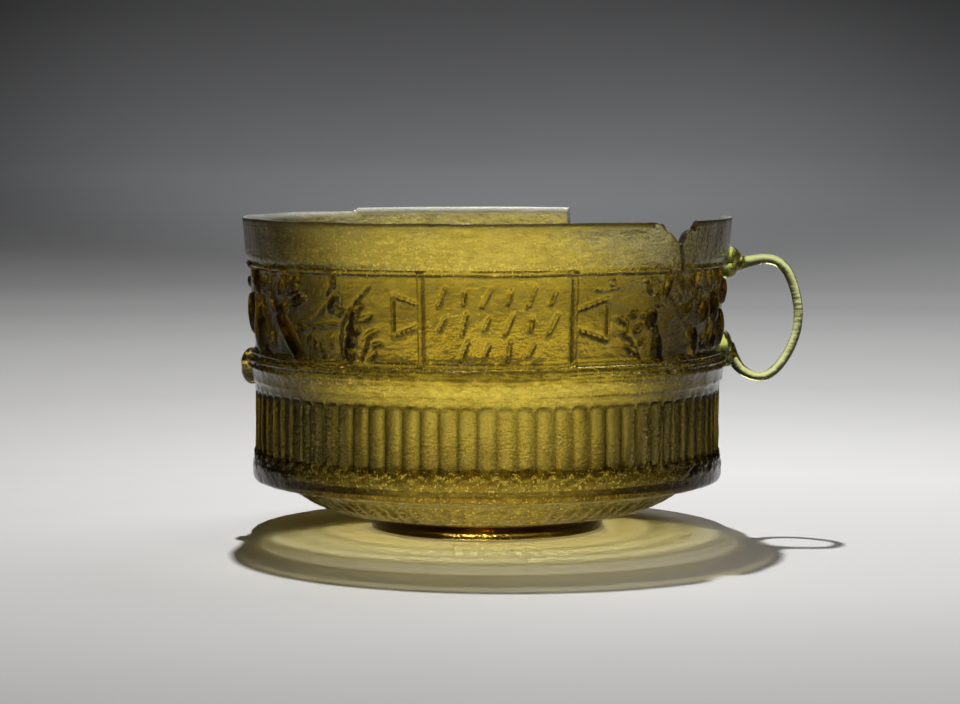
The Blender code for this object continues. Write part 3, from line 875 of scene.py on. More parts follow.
@dataclass
class Frieze:
    """The panels, their dovetails and strokes, and the plants between them."""

    foot: float = 34.5
    head: float = 51.3
    panel: float = 2.5
    panel_span: float = 35.2
    rib_width: float = 1.5
    rib_relief: float = 0.95
    left_tail: tuple[Place, ...] = ((-0.9, 45.7), (-6.8, 47.3), (-6.8, 39.8), (-0.9, 41.6))
    right_tail: tuple[Place, ...] = ((0.6, 44.5), (8.6, 46.6), (8.6, 39.0), (0.6, 41.0))
    tail_width: float = 1.05
    tail_relief: float = 0.62
    stroke_rows: tuple[float, ...] = (46.9, 42.1, 37.4)
    strokes_per_row: tuple[int, ...] = (6, 6, 4)
    stroke_step: float = 5.1
    stroke_length: float = 3.6
    stroke_width: float = 1.0
    stroke_relief: float = 0.75
    stroke_lean: float = 16.0
    lean_steps: tuple[float, ...] = (6.0, -9.0, 11.0, -3.0, 4.0)
    shorter: float = 0.35
    back: float = 180.0
    scar: Leaf = Leaf((-90.0, 47.6), 2.6, 2.4, 0.0, 0.9, tips=(0.8, 0.8))

    def frame_lines(self) -> list[Trail]:
        """The two ribs of a panel and the dovetail outside each.

        Returns:
            The four lines.
        """
        left, right = self.panel - 0.5 * self.panel_span, self.panel + 0.5 * self.panel_span
        lines = []
        for edge, tail in ((left, self.left_tail), (right, self.right_tail)):
            rib = ((edge, self.foot), (edge, self.head))
            outline = tuple((edge + angle, height) for angle, height in tail)
            lines.append(Trail(rib, self.rib_width, self.rib_relief))
            lines.append(Trail(outline, self.tail_width, self.tail_relief, curved=False))
        return lines

    def strokes(self) -> list[Trail]:
        """Rows of short leaning strokes, alternately long and short.

        Returns:
            The strokes, row by row.
        """
        made = []
        degree = math.radians(1.0) * FRIEZE_RADIUS
        for row, (height, count) in enumerate(zip(self.stroke_rows, self.strokes_per_row)):
            for index in range(count):
                angle = self.panel + (index - (count - 1) / 2.0) * self.stroke_step
                length = self.stroke_length * (1.0 - self.shorter * ((index + row) % 2))
                step = self.lean_steps[(index + 2 * row) % len(self.lean_steps)]
                lean = math.radians(self.stroke_lean + step)
                side, rise = 0.5 * length * math.sin(lean) / degree, 0.5 * length * math.cos(lean)
                ends = ((angle - side, height - rise), (angle + side, height + rise))
                made.append(Trail(ends, self.stroke_width, self.stroke_relief, curved=False))
        return made

    def height(self, angle: Array, height: Array) -> Array:
        """Relief of the frieze.

        Args:
            angle: degrees round the wall.
            height: millimetres above the foot.

        Returns:
            Millimetres that the wall stands proud.
        """
        wall = Relief(angle, height)
        front = [*self.frame_lines(), *self.strokes(), *fork_plant(), *hanging_bud()]
        front += [*big_leaves(), *spray(), *crossing_plant(), self.scar]
        for form in front:
            form.lay_on(wall)
        for form in [*self.frame_lines(), *fork_plant(), *crossing_plant()]:
            form.lay_on(wall, self.back)
        rise, fall = (self.foot - 0.3, self.foot + 0.2), (self.head - 0.2, self.head + 0.3)
        return wall.raised * band(rise, fall, height)


@dataclass
class Rings:
    """Rings of points round the axis, joined into a skin in the order they are added."""

    angles: Array
    points: list[Array] = field(default_factory=list)
    ground: list[Array] = field(default_factory=list)
    painted_shade: list[Array] = field(default_factory=list)
    inside: list[Array] = field(default_factory=list)

    def add(
        self,
        radius: Array | float,
        height: Array | float,
        ground: Array | float = 0.0,
        painted_shade: Array | float = PLAIN_PAINTED_SHADE,
        inside: float = 0.0,
        step: int = 1,
    ) -> None:
        """Add a ring.

        Args:
            radius: radius at each column, or one radius.
            height: height at each column, or one height.
            ground: how frosted the surface is there.
            painted_shade: painted shade there, for glass that bends light aside and so looks dark.
            inside: 1 on the inner face.
            step: 1 for every column, 2 for every other one, and so on.
        """
        shape = self.angles.shape
        radius, height, ground, painted_shade = (
            np.broadcast_to(value, shape)[::step] for value in (radius, height, ground, painted_shade)
        )
        turn = np.radians(self.angles[::step])
        spots = [radius * np.sin(turn), -radius * np.cos(turn), height]
        self.points.append(np.stack(spots, axis=1))
        self.ground.append(np.array(ground, dtype=float))
        self.painted_shade.append(np.array(painted_shade, dtype=float))
        self.inside.append(np.full(len(radius), inside))

    def faces(self) -> list[tuple[int, ...]]:
        """Faces between the rings, with a fan over the first and last.

        Returns:
            The numbers of each face's points.
        """
        faces: list[tuple[int, ...]] = []
        start = 0
        for ring, after in zip(self.points, self.points[1:]):
            here, there = len(ring), len(after)
            base = start + here
            if here == there:
                for column in range(here):
                    nxt = (column + 1) % here
                    faces.append((start + column, start + nxt, base + nxt, base + column))
            else:
                faces += self._halving(start, here, base, there)
            start = base
        total = sum(len(ring) for ring in self.points)
        first, last = len(self.points[0]), len(self.points[-1])
        faces += [(total, (column + 1) % first, column) for column in range(first)]
        rim = total - last
        faces += [(rim + column, rim + (column + 1) % last, total + 1) for column in range(last)]
        return faces

    @staticmethod
    def _halving(start: int, here: int, base: int, there: int) -> list[tuple[int, ...]]:
        """Faces between two rings of which one has every other column of the other.

        Args:
            start: number of the first ring's first point.
            here: points in the first ring.
            base: number of the next ring's first point.
            there: points in the next ring.

        Returns:
            Three triangles for each pair of columns.
        """
        faces: list[tuple[int, ...]] = []
        closing = here > there
        fine, coarse = (start, base) if closing else (base, start)
        many, few = max(here, there), min(here, there)
        for column in range(0, many, 2):
            near, far = coarse + column // 2, coarse + (column // 2 + 1) % few
            first, middle, last = fine + column, fine + column + 1, fine + (column + 2) % many
            if closing:
                faces += [(first, middle, near), (middle, far, near), (middle, last, far)]
            else:
                faces += [(near, middle, first), (near, far, middle), (far, last, middle)]
        return faces

    def mesh(self, name: str) -> bpy.types.Mesh:
        """Make the mesh, closed by a point at the middle of the first and last ring.

        Args:
            name: the mesh's name.

        Returns:
            The new mesh, with the shares kept on its points.
        """
        ends = (self.points[0], self.points[-1])
        middles = [np.array([[0.0, 0.0, ring[:, 2].mean()]]) for ring in ends]
        corners = np.vstack([*self.points, *middles]) * METRES
        mesh = bpy.data.meshes.new(name)
        mesh.from_pydata(corners.tolist(), [], self.faces())
        mesh.update()
        for share, rows in (("ground", self.ground), ("painted_shade", self.painted_shade), ("inside", self.inside)):
            kept = mesh.attributes.new(share, "FLOAT", "POINT")
            kept.data.foreach_set("value", np.concatenate([*rows, [0.0, rows[-1][0]]]))
        return mesh


@dataclass(frozen=True)
class PaintedShade:
    """Painted shade at each part of the cup, standing in for glass that bends light aside and so
    looks darker.
    """

    hollow: float = 0.6
    hollow_rise: Place = (0.0, 0.5)
    corner: float = 1.25
    lump: float = 1.6
    lump_rise: Place = (0.75, 1.3)
    bar: float = 1.3
    bar_width: float = 0.14
    bar_fade: Place = (30.0, 42.0)
    bar_loss: float = 0.75
    side: float = 1.2
    side_rise: Place = (48.0, 72.0)
    crack: float = 1.4
    sole: float = 1.5
    foot_ring: float = 2.0
    foot_glow: float = 1.6
    thin: float = 0.3


@dataclass
class CupBody:
    """The blown vessel: broken rim, collar, frieze, belt, flutes, tongues and foot."""

    slot: Slot = Slot.BODY
    height: float = 60.8
    frieze: Frieze = field(default_factory=Frieze)
    dark: PaintedShade = PaintedShade()
    crease: float = 55.0
    flutes: int = 82
    flute_foot: float = 14.3
    flute_head: float = 27.2
    flute_depth: float = 0.95
    flute_end: float = 1.5
    flute_top: float = 0.9
    flute_fullness: float = 0.8
    flute_ease: Place = (0.4, 0.6)
    flute_waves: Waves = Waves(11, 8, 12.0, 0.10)
    arris: float = 0.06
    scallop: float = 0.26
    scallop_ring: Place = (1.16, 0.13)
    scallop_from: float = 0.25
    columns_per_flute: tuple[tuple[int, int], ...] = ((11, 12), (23, 8), (41, 6))
    squeeze_from: float = 41.0
    wobble: Waves = Waves(3, 7, 60.0)
    wobble_rise: float = 0.2
    wobble_size: float = 0.05
    swells: Waves = Waves(23, 12, 16.0, 0.035)
    small_pits: Waves = Waves(29, 26, 1.9, 0.026)
    large_pits: Waves = Waves(31, 22, 4.2, 0.05)
    ridge_wander: float = 0.12
    ridge_ease: float = 0.12
    ridge_fullness: float = 1.1
    ridge_waves: Waves = Waves(5, 9, 9.0, 0.12)
    beads: Waves = Waves(17, 14, 3.2, 0.07)
    sparkle: Waves = Waves(19, 16, 1.7, 0.07)
    belt_sparkle: float = 0.5
    tongue_foot: Place = (34.4, 1.5)
    tongue_head: Place = (36.6, 0.9)
    tongue_width: float = 0.86
    tongue_relief: float = 0.36
    tongue_fullness: float = 0.6
    tongue_waves: Waves = Waves(31, 12, 3.4, 0.07)
    tongue_peel: Waves = Waves(37, 20, 1.8, 0.07)
    sole_shade: Place = (32.0, 0.9)
    foot_ring: Place = (22.2, 22.8)
    # painted glow on the front of the foot ring: its span in degrees and its top
    foot_glow: Place = (-5.0, 5.0)
    foot_glow_top: float = 2.2
    worn_edge: tuple[int, float, float] = (9, 14.0, 0.05)
    edge_seeds: tuple[int, int] = (41, 57)
    chip_step: float = 0.8
    chip_size: float = 0.28
    ground_waves: Waves = Waves(67, 8, 12.0, 0.1)
    ground_share: float = 0.55
    broken_share: float = 0.12
    bevel: float = 1.0
    broken_drop: float = 0.12
    broken_dip: float = 0.1
    edge_lean: float = 0.5
    edge_steps: Place = (0.16, 0.5)
    edge_rises: tuple[float, float, float] = (0.03, 0.02, 0.05)
    inner_drop: float = 0.1
    inner_waves: Waves = Waves(71, 12, 11.0, 0.08)
    inner_peel: Waves = Waves(73, 22, 3.6, 0.03)
    start_angle: float = -145.0
    notch: tuple[Place, Place] = ((40.6, 41.4), (55.2, 55.6))
    gap: tuple[Place, Place] = ((99.0, 99.6), (158.1, 158.6))
    fresh: tuple[Place, Place] = ((158.2, 158.8), (214.6, 215.0))
    belt: tuple[Place, Place] = ((31.6, 32.2), (33.6, 34.0))
    foot_band: tuple[Place, Place] = ((12.0, 12.4), (13.6, 14.2))
    corner: tuple[Place, Place] = ((10.5, 10.75), (11.85, 12.1))
    low_side: tuple[Place, Place] = ((9.8, 10.4), (13.6, 14.4))
    paler: tuple[Place, Place] = ((-2.0, 8.0), (20.0, 30.0))
    crack_line: Trail = Trail(((49.3, 56.0), (51.0, 51.5), (51.4, 49.6)), 0.8, 1.0, curved=False)
    crack_depth: float = 0.12
    outer: tuple[Place, ...] = (
        (9.7, 45.0), (10.2, 45.35), (11.0, 45.45), (12.9, 45.45), (13.7, 45.2), (14.3, 44.95),
        (27.4, 44.9), (28.6, 45.0), (29.3, 45.35), (31.2, 45.85), (33.0, 45.75), (33.8, 45.2),
        (35.1, 44.85), (50.6, 45.85), (51.9, 46.1), (52.4, 46.55), (54.0, 46.8), (60.8, 47.35),
    )
    ridges: tuple[tuple[float, float, float], ...] = (
        (29.0, 0.7, 0.22), (31.8, 0.9, 0.45), (33.15, 1.05, 0.62), (34.5, 1.0, 0.70),
        (51.3, 1.1, 0.72), (52.9, 0.6, 0.14),
    )
    inner: tuple[Place, ...] = (
        (10.6, 42.4), (11.2, 43.2), (12.3, 43.8), (14.3, 43.35), (27.4, 43.3), (29.5, 43.8),
        (32.5, 44.5), (35.5, 43.3), (50.6, 44.2), (52.5, 45.0), (60.8, 46.05),
    )
    break_line: tuple[Place, ...] = (
        (-145.0, 60.8), (-144.6, 60.2), (41.0, 60.2), (42.6, 59.8), (44.7, 58.5), (46.0, 58.3),
        (47.6, 57.0), (49.2, 56.0), (50.3, 56.2), (51.6, 57.8), (52.7, 58.5), (54.9, 58.6),
        (55.3, 60.2), (99.5, 60.2), (100.2, 54.8), (101.0, 47.6), (103.0, 44.2), (110.6, 43.0),
        (129.3, 45.3), (143.1, 47.6), (155.0, 49.5), (157.3, 50.3), (158.2, 56.1),
        (158.5, 60.8), (215.0, 60.8),
    )

    def columns(self) -> Array:
        """Angles of the columns, closest together over the front.

        Returns:
            Degrees round the wall, in order.
        """
        pitch = 360.0 / self.flutes
        angles: list[float] = []
        half = self.flutes // 2
        for flute in range(-half, self.flutes - half):
            count = next(count for reach, count in self.columns_per_flute if abs(flute) <= reach)
            angles += [(flute - 0.5 + step / count) * pitch for step in range(count)]
        return np.array(angles)

    def unrolled(self, angle: Array) -> Array:
        """Angles from where the outline of the breaks starts."""
        return (angle - self.start_angle) % 360.0 + self.start_angle

    def broken(self, angle: Array) -> Array:
        """Share by which the rim is broken rather than ground, at each angle."""
        turn = self.unrolled(angle)
        return np.maximum(band(*self.notch, turn), band(*self.gap, turn))

    def top(self, angle: Array, seed: int) -> Array:
        """Height of the edge, chipped along the breaks.

        Args:
            angle: degrees round the wall.
            seed: picks the chips.

        Returns:
            Millimetres above the foot.
        """
        turn = self.unrolled(angle)
        places, heights = zip(*self.break_line)
        line = np.interp(turn, places, heights)
        knots = np.arange(self.start_angle - 1.0, self.start_angle + 362.0, self.chip_step)
        draw = np.random.default_rng(seed)
        chips = np.interp(turn, knots, draw.uniform(-1.0, 1.0, len(knots)))
        line = line + self.chip_size * chips * self.broken(angle)
        worn = Waves(seed + 1, *self.worn_edge).at(angle, np.zeros_like(angle))
        return np.minimum(line + worn, self.height)

    def squeezed(self, rows: Array, top: Array) -> Array:
        """Heights of rows, with those over the breaks squeezed under the edge.

        Args:
            rows: row heights of an unbroken wall.
            top: height of the edge at each column.

        Returns:
            Heights by row and column.
        """
        base = self.squeeze_from
        share = (top[None, :] - base) / (self.height - base)
        raised = base + (rows[:, None] - base) * share
        return np.where(rows[:, None] > base, raised, rows[:, None])

    def flute(self, angle: Array, height: Array) -> tuple[Array, Array]:
        """Flutes and the scalloped line round their lower ends.

        Args:
            angle: degrees round the wall.
            height: millimetres above the foot.

        Returns:
            How deep the flutes are, as a share, and how high the scallops stand.
        """
        phase = (angle * self.flutes / 360.0 + 0.5) % 1.0 - 0.5
        across = 2.0 * phase / (1.0 - self.arris)
        low = np.clip((self.flute_foot + self.flute_end - height) / self.flute_end, 0.0, None)
        high = np.clip((height - self.flute_head + self.flute_top) / self.flute_top, 0.0, None)
        reach = np.sqrt(across**2 + low**2 + high**2)
        hollow = np.clip(1.0 - reach**2, 0.0, 1.0) ** self.flute_fullness
        at, width = self.scallop_ring
        rim = np.exp(-(((reach - at) / width) ** 2)) * (low > self.scallop_from)
        return hollow, rim * (np.abs(phase) < 0.5)

    def radius(self, angle: Array, height: Array) -> Array:
        """Outer radius of the upper wall.

        Args:
            angle: degrees round the wall.
            height: millimetres above the foot.

        Returns:
            Radius in millimetres.
        """
        heights, radii = zip(*self.outer)
        base = np.interp(height, heights, radii)
        wobble = self.wobble.at(angle, height * self.wobble_rise)
        for level, width, relief in self.ridges:
            stand = relief * (1.0 + self.ridge_waves.at(angle, height))
            away = height - level - self.ridge_wander * wobble
            form = swell(away, 0.5 * width + self.ridge_ease, self.ridge_fullness)
            base = np.maximum(base, base + stand * form)
        hollow, scallop = self.flute(angle, height)
        uneven = 1.0 + self.flute_waves.at(angle, height)
        base = base - self.flute_depth * hollow * uneven + self.scallop * scallop
        base = base + self.frieze.height(angle, height)
        base = base - self.crack_depth * self.crack(angle, height)
        belt, foot_band = band(*self.belt, height), band(*self.foot_band, height)
        base = base + self.beads.at(angle, height) * belt
        base = base + self.sparkle.at(angle, height) * (foot_band + self.belt_sparkle * belt)
        pitted = self.small_pits.at(angle, height) + self.large_pits.at(angle, height)
        return base + pitted + self.swells.at(angle, height) + self.wobble_size * wobble

    def crack(self, angle: Array, height: Array) -> Array:
        """Share by which the crack below the notch is open.

        Args:
            angle: degrees round the wall.
            height: millimetres above the foot.

        Returns:
            1 along the crack, 0 away from it.
        """
        wall = Relief(angle, height)
        self.crack_line.lay_on(wall)
        return wall.raised

    def depth(self, angle: Array, height: Array) -> Array:
        """Painted shade of the outer wall, for glass that bends light aside: most in the flutes
        and thick lumps.

        Args:
            angle: degrees round the wall.
            height: millimetres above the foot.

        Returns:
            The plain wall's painted shade, more where it is painted darker.
        """
        hollow, _ = self.flute(angle, height)
        dark, (before, after) = self.dark, self.flute_ease
        rise = (self.flute_foot - before, self.flute_foot + after)
        zone = band(rise, (self.flute_head - before, self.flute_head + after), height)
        # painted shade: dark bars down each flute at the front, weaker to the right of the middle
        phase = (angle * self.flutes / 360.0) % 1.0 - 0.5
        seen = 1.0 - fade(*dark.bar_fade, np.abs(angle))
        bar = zone * np.exp(-((phase / dark.bar_width) ** 2)) * seen
        bar = bar * (1.0 - dark.bar_loss * band(*self.paler, angle))
        lump = fade(*dark.lump_rise, self.frieze.height(angle, height))
        side = fade(*dark.side_rise, np.abs(angle)) * band(*self.low_side, height)
        shares = (
            dark.hollow * zone * fade(*dark.hollow_rise, hollow),
            dark.corner * band(*self.corner, height),
            dark.lump * lump,
            dark.bar * bar,
            dark.side * side,
            dark.crack * self.crack(angle, height),
        )
        return PLAIN_PAINTED_SHADE + np.maximum.reduce(shares)

    def add_foot(self, rings: Rings) -> None:
        """Add the rings of the underside, from its middle out to the sole.

        Args:
            rings: the rings so far.
        """
        under = (
            (2.0, 0.0), (4.1, 0.0), (4.6, 0.35), (5.2, 0.95), (8.0, 1.0), (11.2, 1.0),
            (12.0, 0.72), (12.8, 0.5), (13.6, 0.72), (14.4, 1.0), (17.0, 1.02), (19.4, 1.0),
            (20.2, 0.85), (20.8, 0.35), (21.1, 0.08), (21.6, 0.0), (22.1, 0.0), (22.4, 0.14),
            (22.5, 0.5), (22.5, 1.3), (22.45, 2.0), (22.7, 2.45), (23.6, 2.72), (25.4, 2.98),
            (27.4, 3.28), (29.2, 3.62),
        )
        dark, (at, width), (inner, outer) = self.dark, self.foot_glow, self.foot_ring
        glow = np.exp(-(((rings.angles - at) / width) ** 2))
        for radius, height in under:
            # painted glow: less painted shade on the front of the foot ring, low down
            lit = dark.foot_glow * glow * (height < self.foot_glow_top)
            painted_shade = dark.foot_ring - lit if inner < radius < outer else dark.thin
            rings.add(radius, height, painted_shade=painted_shade, step=4)
        rings.add(30.6, 3.95, painted_shade=dark.thin, step=2)

    def add_tongues(self, rings: Rings) -> None:
        """Add the sole, the short tongues on its slope and the ledge above them.

        Args:
            rings: the rings so far.
        """
        line = (
            (31.3, 4.15), (31.9, 4.38), (32.4, 4.62), (32.9, 4.9), (33.4, 5.22), (34.0, 5.62),
            (34.8, 6.12), (35.6, 6.62), (36.4, 7.12), (37.1, 7.5), (37.6, 7.78), (38.6, 8.1),
            (40.2, 8.55), (41.8, 8.95), (43.2, 9.25), (44.2, 9.47),
        )
        foot, head, (sole, sole_width) = self.tongue_foot, self.tongue_head, self.sole_shade
        angle = rings.angles
        phase = (angle * self.flutes / 360.0 + 0.5) % 1.0 - 0.5
        along = np.gradient(np.array(line), axis=0)
        along = along / np.linalg.norm(along, axis=1)[:, None]
        for (radius, height), (slope_r, slope_z) in zip(line, along):
            low = np.clip((foot[0] - radius) / foot[1], 0.0, None)
            high = np.clip((radius - head[0]) / head[1], 0.0, None)
            reach = np.sqrt((2.0 * phase / self.tongue_width) ** 2 + low**2 + high**2)
            tongue = np.clip(1.0 - reach**2, 0.0, 1.0) ** self.tongue_fullness
            across = np.full_like(angle, radius)
            rough = self.tongue_waves.at(angle, across) + self.tongue_peel.at(angle, across)
            lift = self.tongue_relief * tongue + rough
            # painted shade in a ring on the sole, between the tongues
            near = np.clip(1.0 - np.abs(radius - sole) / sole_width, 0.0, 1.0)
            painted_shade = np.maximum(PLAIN_PAINTED_SHADE, self.dark.sole * near * (1.0 - tongue))
            rings.add(radius + lift * slope_z, height - lift * slope_r, painted_shade=painted_shade, step=2)

    def add_outer(self, rings: Rings) -> None:
        """Add the outer wall from its lower corner up to the edge.

        Args:
            rings: the rings so far.
        """
        rows = np.concatenate([
            [9.75, 10.0, 10.3, 10.55, 10.75, 11.1, 11.5, 11.85, 12.05, 12.3, 12.65, 13.0, 13.35],
            [13.7, 14.0, 14.3, 14.6, 14.9, 15.3, 15.8, 16.6, 18.5, 20.8, 23.2, 25.2, 26.0, 26.4],
            [26.8, 27.2, 27.8, 28.5, 28.8, 29.0, 29.25, 29.8, 30.8, 31.35, 31.6, 31.8, 32.05],
            [32.35, 32.7, 32.95, 33.2, 33.45, 33.75, 34.05, 34.3, 34.5, 34.75],
            np.linspace(35.05, 50.65, 44),
            [50.9, 51.1, 51.3, 51.5, 51.75, 52.1, 52.6, 53.0, 53.6, 55.0, 57.0, 59.0, 60.2, 60.62],
        ])
        heights = self.squeezed(rows, self.top(rings.angles, self.edge_seeds[0]))
        angle = np.broadcast_to(rings.angles, heights.shape)
        for row in zip(self.radius(angle, heights), heights, self.depth(angle, heights)):
            radius, height, painted_shade = row
            rings.add(radius, height, painted_shade=painted_shade)

    def add_edge(self, rings: Rings) -> None:
        """Add the edge: ground and bevelled where whole, chipped where broken.

        Args:
            rings: the rings so far.
        """
        angle = rings.angles
        top, inside_top = (self.top(angle, seed) for seed in self.edge_seeds)
        broken = self.broken(angle)
        whole = 1.0 - broken
        outside = self.radius(angle, top)
        white = self.ground_share + self.ground_waves.at(angle, top)
        white = np.maximum(white, band(*self.fresh, self.unrolled(angle)))
        white = white * whole + self.broken_share * broken
        drop = self.bevel * whole + self.broken_drop * broken
        inside_height = np.minimum(inside_top, top + self.edge_lean) - drop
        heights, radii = zip(*self.inner)
        inside = np.interp(inside_height, heights, radii)
        first, second = self.edge_steps
        low, flat, high = self.edge_rises
        middle = 0.5 * (top + inside_height) + high - self.broken_dip * broken
        rings.add(outside - first, top + low * whole, white)
        rings.add(outside - second, top + flat, white)
        rings.add(0.5 * (outside - second + inside), middle, white)
        rings.add(inside, inside_height, white, step=2)

    def add_inner(self, rings: Rings) -> None:
        """Add the inner wall from under the edge down to the floor's middle.

        Args:
            rings: the rings so far.
        """
        rows = np.array([
            59.4, 57.6, 55.6, 53.6, 52.0, 50.6, 48.4, 46.0, 43.6, 41.2, 38.6, 36.6, 35.2, 34.0,
            32.8, 31.4, 30.0, 28.8, 27.8, 26.8, 25.6, 23.0, 20.0, 17.4, 15.8, 14.9, 14.1, 13.3,
            12.4, 11.7, 11.2,
        ])
        angle = rings.angles
        outside_top, inside_top = (self.top(angle, seed) for seed in self.edge_seeds)
        top = np.minimum(inside_top, outside_top + self.edge_lean)
        heights = self.squeezed(rows, top - self.inner_drop)
        wide = np.broadcast_to(angle, heights.shape)
        levels, radii = zip(*self.inner)
        radius = np.interp(heights, levels, radii) - self.inner_waves.at(wide, heights)
        radius = radius - self.inner_peel.at(wide, heights)
        for ring, height in zip(radius, heights):
            rings.add(ring, height, inside=1.0, step=2)
        floor = (
            (42.0, 10.5), (40.4, 10.1), (38.6, 9.65), (37.2, 9.1), (36.0, 8.45), (34.4, 7.5),
            (32.6, 6.75), (30.6, 6.2), (27.6, 5.75), (24.0, 5.25), (20.0, 4.8), (15.0, 4.3),
            (10.0, 3.9), (5.0, 3.65),
        )
        for ring, height in floor:
            rings.add(ring, height, inside=1.0, step=2 if ring > 32.0 else 4)

    def build(self) -> bpy.types.Object:
        """Build the vessel.

        Returns:
            The linked object.
        """
        rings = Rings(self.columns())
        self.add_foot(rings)
        self.add_tongues(rings)
        self.add_outer(rings)
        self.add_edge(rings)
        self.add_inner(rings)
        mesh = rings.mesh("cup")
        mesh.shade_smooth()
        mesh.set_sharp_from_angle(angle=math.radians(self.crease))
        return link("cup", mesh)

    def dress(self, piece: bpy.types.Object) -> None:
        """Give the vessel its glass and let it stand for its CAD node."""
        settle(piece, "cup_body", GlassFinish(self.slot))


def link(name: str, data: bpy.types.ID) -> bpy.types.Object:
    """Link new data to the scene as an object.

    Args:
        name: the object's name.
        data: its mesh, lamp or camera.

    Returns:
        The linked object.
    """
    made = bpy.data.objects.new(name, data)
    bpy.context.scene.collection.objects.link(made)
    return made


def settle(piece: bpy.types.Object, node: str, finish: GlassFinish) -> None:
    """Dress a piece and let it ride on the body in place of its CAD node.

    Args:
        piece: the finished piece.
        node: the CAD node that it stands for.
        finish: its glass.
    """
    piece.data.materials.clear()
    piece.data.materials.append(finish.material())
    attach(piece, "root")
    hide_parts(node)


def add_blobs(shape: bmesh.types.BMesh, blobs: tuple[tuple[Spot, Spot], ...]) -> None:
    """Add ellipsoids to a shape.

    Args:
        shape: the shape, in millimetres.
        blobs: the middle and the half sizes of each ellipsoid.
    """
    for middle, size in blobs:
        made = bmesh.ops.create_uvsphere(shape, u_segments=24, v_segments=16, radius=1.0)
        for corner in made["verts"]:
            spot = zip(corner.co, size, middle)
            corner.co = [share * half + centre for share, half, centre in spot]


def melt(name: str, shape: bmesh.types.BMesh, cell: float, rounds: int) -> bpy.types.Object:
    """Melt a shape's overlapping parts into one smooth skin.

    Args:
        name: the object's name.
        shape: the parts, in millimetres.
        cell: size of the skin's cells in millimetres.
        rounds: how often it is smoothed.

    Returns:
        The linked object, in metres.
    """
    mesh = bpy.data.meshes.new(name)
    bmesh.ops.scale(shape, vec=Vector((METRES, METRES, METRES)), verts=shape.verts)
    shape.to_mesh(mesh)
    shape.free()
    piece = link(name, mesh)
    remesh = piece.modifiers.new("skin", "REMESH")
    remesh.mode = "VOXEL"
    remesh.voxel_size = cell * METRES
    remesh.use_smooth_shade = True
    relax = piece.modifiers.new("relax", "SMOOTH")
    relax.factor = 0.5
    relax.iterations = rounds
    bpy.context.view_layer.update()
    evaluated = piece.evaluated_get(bpy.context.evaluated_depsgraph_get())
    piece.data = bpy.data.meshes.new_from_object(evaluated)
    piece.modifiers.clear()
    piece.data.name = name
    return piece


def hug_wall(piece: bpy.types.Object, body: CupBody, clearance: float) -> None:
    """Press what reaches into the cup's wall back onto its outer face.

    Args:
        piece: the piece that was set on the wall.
        body: the cup.
        clearance: millimetres between the two.
    """
    count = len(piece.data.vertices)
    spots = np.empty(count * 3)
    piece.data.vertices.foreach_get("co", spots)
    spots = spots.reshape(-1, 3) / METRES
    angle = np.degrees(np.arctan2(spots[:, 0], -spots[:, 1]))
    distance = np.hypot(spots[:, 0], spots[:, 1])
    wall = body.radius(angle, spots[:, 2]) + clearance
    stretch = np.maximum(1.0, wall / distance)
    spots[:, :2] *= stretch[:, None]
    piece.data.vertices.foreach_set("co", (spots * METRES).ravel())
    piece.data.update()
    for name, value in (("ground", 0.0), ("painted_shade", PLAIN_PAINTED_SHADE), ("inside", 0.0)):
        kept = piece.data.attributes.new(name, "FLOAT", "POINT")
        kept.data.foreach_set("value", np.full(count, value))


